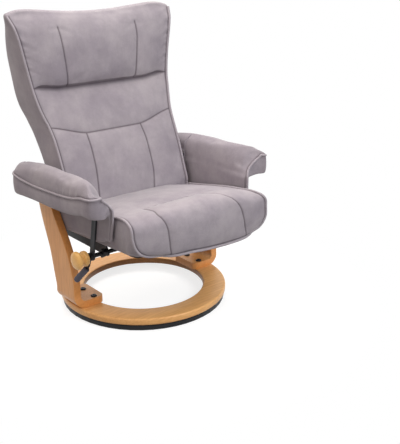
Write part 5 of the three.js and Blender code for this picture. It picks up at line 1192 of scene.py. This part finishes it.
# distance from the middle and how far the front is drawn back there, as an open bow in plan
FRONT_BOW = np.array([(0.3, 0.022), (0.312, 0.024), (0.318, 0.03), (0.33, 0.035), (0.35, 0.034),
                      (0.37, 0.029), (0.39, 0.016), (0.398, 0.006), (0.41, 0.002)])


def arm_section(y, front_corner, blunt):
    """One closed rib: up the flap, over the top, down the band and back inside."""
    share = (y - ARM_FRONT) / (ARM_REAR - ARM_FRONT)
    seam, band, crest, width, lean = [float(look_up(ARM_STATIONS, share, i)) for i in range(1, 6)]
    seam, band, crest = seam * ARM_CREST, band * ARM_CREST, crest * ARM_CREST
    reach = (ARM_OUT - ARM_IN) * width
    for corner, place in ((front_corner, ARM_FRONT), (ARM_REAR_CORNER, ARM_REAR)):
        into = abs(y - place)
        if into < corner:
            reach -= corner - math.sqrt(corner**2 - (corner - into) ** 2)
    has_flap, is_hollow = y < FLAP_REAR, HOLLOW_FRONT < y < HOLLOW_REAR
    sweep = HOLLOW_SWEEP_Z if is_hollow and not has_flap else SWEEP_Z
    low = float(look_up(FLAP_EDGE, y)) if has_flap else sweep - 0.005
    heights = [sweep + (crest - sweep) * rise for rise in ARM_RISE]
    heights += [seam + (crest - seam) * fall for fall in ARM_FALL]
    outs = ARM_TOP * (1 - lean) + ARM_TIP * lean
    run, fine = np.linspace(0, 1, len(outs)), np.linspace(0, 1, PANEL_POINTS)
    section = [(ARM_IN, h) for h in np.linspace(low, sweep, FLAP_POINTS)[:-1]]
    section += list(zip(ARM_IN + reach * read_curve(run, outs, fine), read_curve(run, heights, fine)))
    edge = ARM_IN + reach
    blunt = blunt * float(smooth(-y, 0.23, 0.29))
    for s in np.linspace(0.12, 1, BAND_POINTS):
        tuck = BAND_PUFF * math.sin(math.pi * s) - BAND_TUCK * max(0, s - 0.85) - blunt * s
        section.append((edge + tuck, seam + (band - seam) * s))
    inner = edge - BAND_THICK
    middle = (inner + FLAP_SIDE) / 2
    if is_hollow:
        top = HOLLOW_TOP
        section += [(inner, band), (inner, (band + top) / 2), (inner, top), (middle, top),
                    (FLAP_SIDE, top), (FLAP_SIDE, (top + low) / 2)]
    else:
        top = SWEEP_Z
        section += [(inner, band), ((inner + middle) / 2, (band + top) / 2), (middle, top),
                    ((middle + FLAP_SIDE) / 2, top - 0.002), (FLAP_SIDE, top - 0.006),
                    (FLAP_SIDE, (top + low) / 2)]
    section += [(FLAP_SIDE, low + FLAP_HEM), (FLAP_SIDE - FLAP_HEM / 2, low)]
    return np.array([(px, y, pz) for px, pz in section])


arm_places = list(np.linspace(ARM_FRONT, ARM_REAR, ARM_RINGS))
for stop in (FLAP_REAR, HOLLOW_FRONT, HOLLOW_REAR):
    arm_places = [p for p in arm_places if abs(p - stop) > 0.0025]
    arm_places += [stop - 0.0012, stop - 0.0002, stop + 0.0002, stop + 0.0012]
arm_places += [ARM_FRONT + 0.0015, ARM_FRONT + 0.004, ARM_REAR - 0.0015, ARM_REAR - 0.004]
arm_places = np.array(sorted(arm_places))


def arm_sections(front_corner, blunt, bow_share, drop, slant):
    """All ribs, the front drawn back in an open bow, lowered a little, and its flap slanted."""
    rings = np.array([arm_section(y, front_corner, blunt) for y in arm_places])
    x, y, z = rings[..., 0], rings[..., 1], rings[..., 2]
    at_front = smooth(-y, 0.2, 0.29)
    share = bow_share + (1 - bow_share) * (1 - smooth(x, 0.318, 0.35))
    bow = share * look_up(FRONT_BOW, x)
    on_flap = smooth(SWEEP_Z - z, 0, 0.12) * (1 - smooth(x, 0.325, 0.335))
    lower = drop * at_front * smooth(x, 0.31, 0.35)
    return np.stack([x, y + at_front * (bow + slant * on_flap), z - lower], axis=-1)


ARM_SHAPES = {
    "left": arm_sections(front_corner=0.018, blunt=0.0, bow_share=1.0, drop=0.0, slant=0.0),
    "right": arm_sections(front_corner=0.042, blunt=0.014, bow_share=0.45, drop=0.014, slant=0.016),
}
print("armrest:", ARM_SHAPES["left"].shape[0], "ribs of", ARM_SHAPES["left"].shape[1], "points")

# %% Armrests: loft, foam and piping
ARM_PIPING_RADIUS, ARM_SWELL_CAP, ARM_FILL = 0.0044, 0.007, 0.8
ARM_EDGE_SINK, ARM_LUMPS, ARM_FOLDS, FAR_AWAY = 0.005, 0.0015, 0.0034, 1.0
TOP_START, TOP_END = FLAP_POINTS - 1, FLAP_POINTS + PANEL_POINTS - 2


def loft(name, rings):
    """Skins the ribs and closes both ends with a flat face, cut into triangles."""
    count = rings.shape[1]
    faces = []
    for first in range(0, (len(rings) - 1) * count, count):
        for i in range(count):
            j = (i + 1) % count
            faces.append((first + i, first + j, first + count + j, first + count + i))
    last = (len(rings) - 1) * count
    faces += [tuple(range(count)), tuple(last + i for i in reversed(range(count)))]
    piece = from_faces(name, rings.reshape(-1, 3), faces)
    work = bmesh.new()
    work.from_mesh(piece.data)
    bmesh.ops.triangulate(work, faces=[f for f in work.faces if len(f.verts) > 4])
    work.to_mesh(piece.data)
    work.free()
    return piece


for side_name, way in SIDES:
    rings = ARM_SHAPES[side_name] * np.array([way, 1, 1])
    arm = loft("armrest_upholstery_" + side_name, rings)
    ring_of, place_in = np.divmod(np.arange(rings.shape[0] * rings.shape[1]), rings.shape[1])
    free = (place_in > TOP_START) & (place_in < TOP_END) & (ring_of > 2) & (ring_of < len(rings) - 3)
    points = coordinates(arm)
    border = (place_in == TOP_END) | ((ring_of == 0) & (place_in <= TOP_END))
    to_edge = distance_to(points, points[border])
    push_out(arm, -ARM_EDGE_SINK * smooth(to_edge, 0, SEAM_FADE) * free)
    # painted shade only in the corner beside the piping, at four fifths strength
    set_attribute(arm, "seam", seam_shade(np.full(len(points), FAR_AWAY), to_edge) * 0.8)
    blow_up(arm, np.where(free, 0.0, 1.0), ARM_SWELL_CAP)

    points = coordinates(arm)
    lumps = ARM_LUMPS * unevenness(points, 0.07) * smooth(to_edge, 0, SEAM_FADE)
    gathered = window(-points[:, 1], (0.03, 0.1), (0.2, 0.25))
    folds = puckers(points[:, 1] + 0.7 * np.abs(points[:, 0]), to_edge, 0.02)
    push_out(arm, (lumps + ARM_FOLDS * folds * gathered) * free)
    soften(arm, ARM_FILL, "turntable", "armrest_" + side_name)

    outer_line = rings[::-1, TOP_END]
    front_line = rings[0, TOP_END:TOP_START:-1]
    down = rings[0, TOP_START:0:-1] + np.array([way * 0.005, -0.0005, 0])
    with_flap = arm_places < FLAP_REAR
    below_flap = (rings[with_flap, 0] + rings[with_flap, -1]) / 2 + np.array([0, 0, -0.0005])
    path = np.vstack([outer_line, front_line, down, below_flap]) + np.array([way * 0.001, 0, 0])
    piping("armrest_piping_" + side_name, path, ARM_PIPING_RADIUS, "turntable")
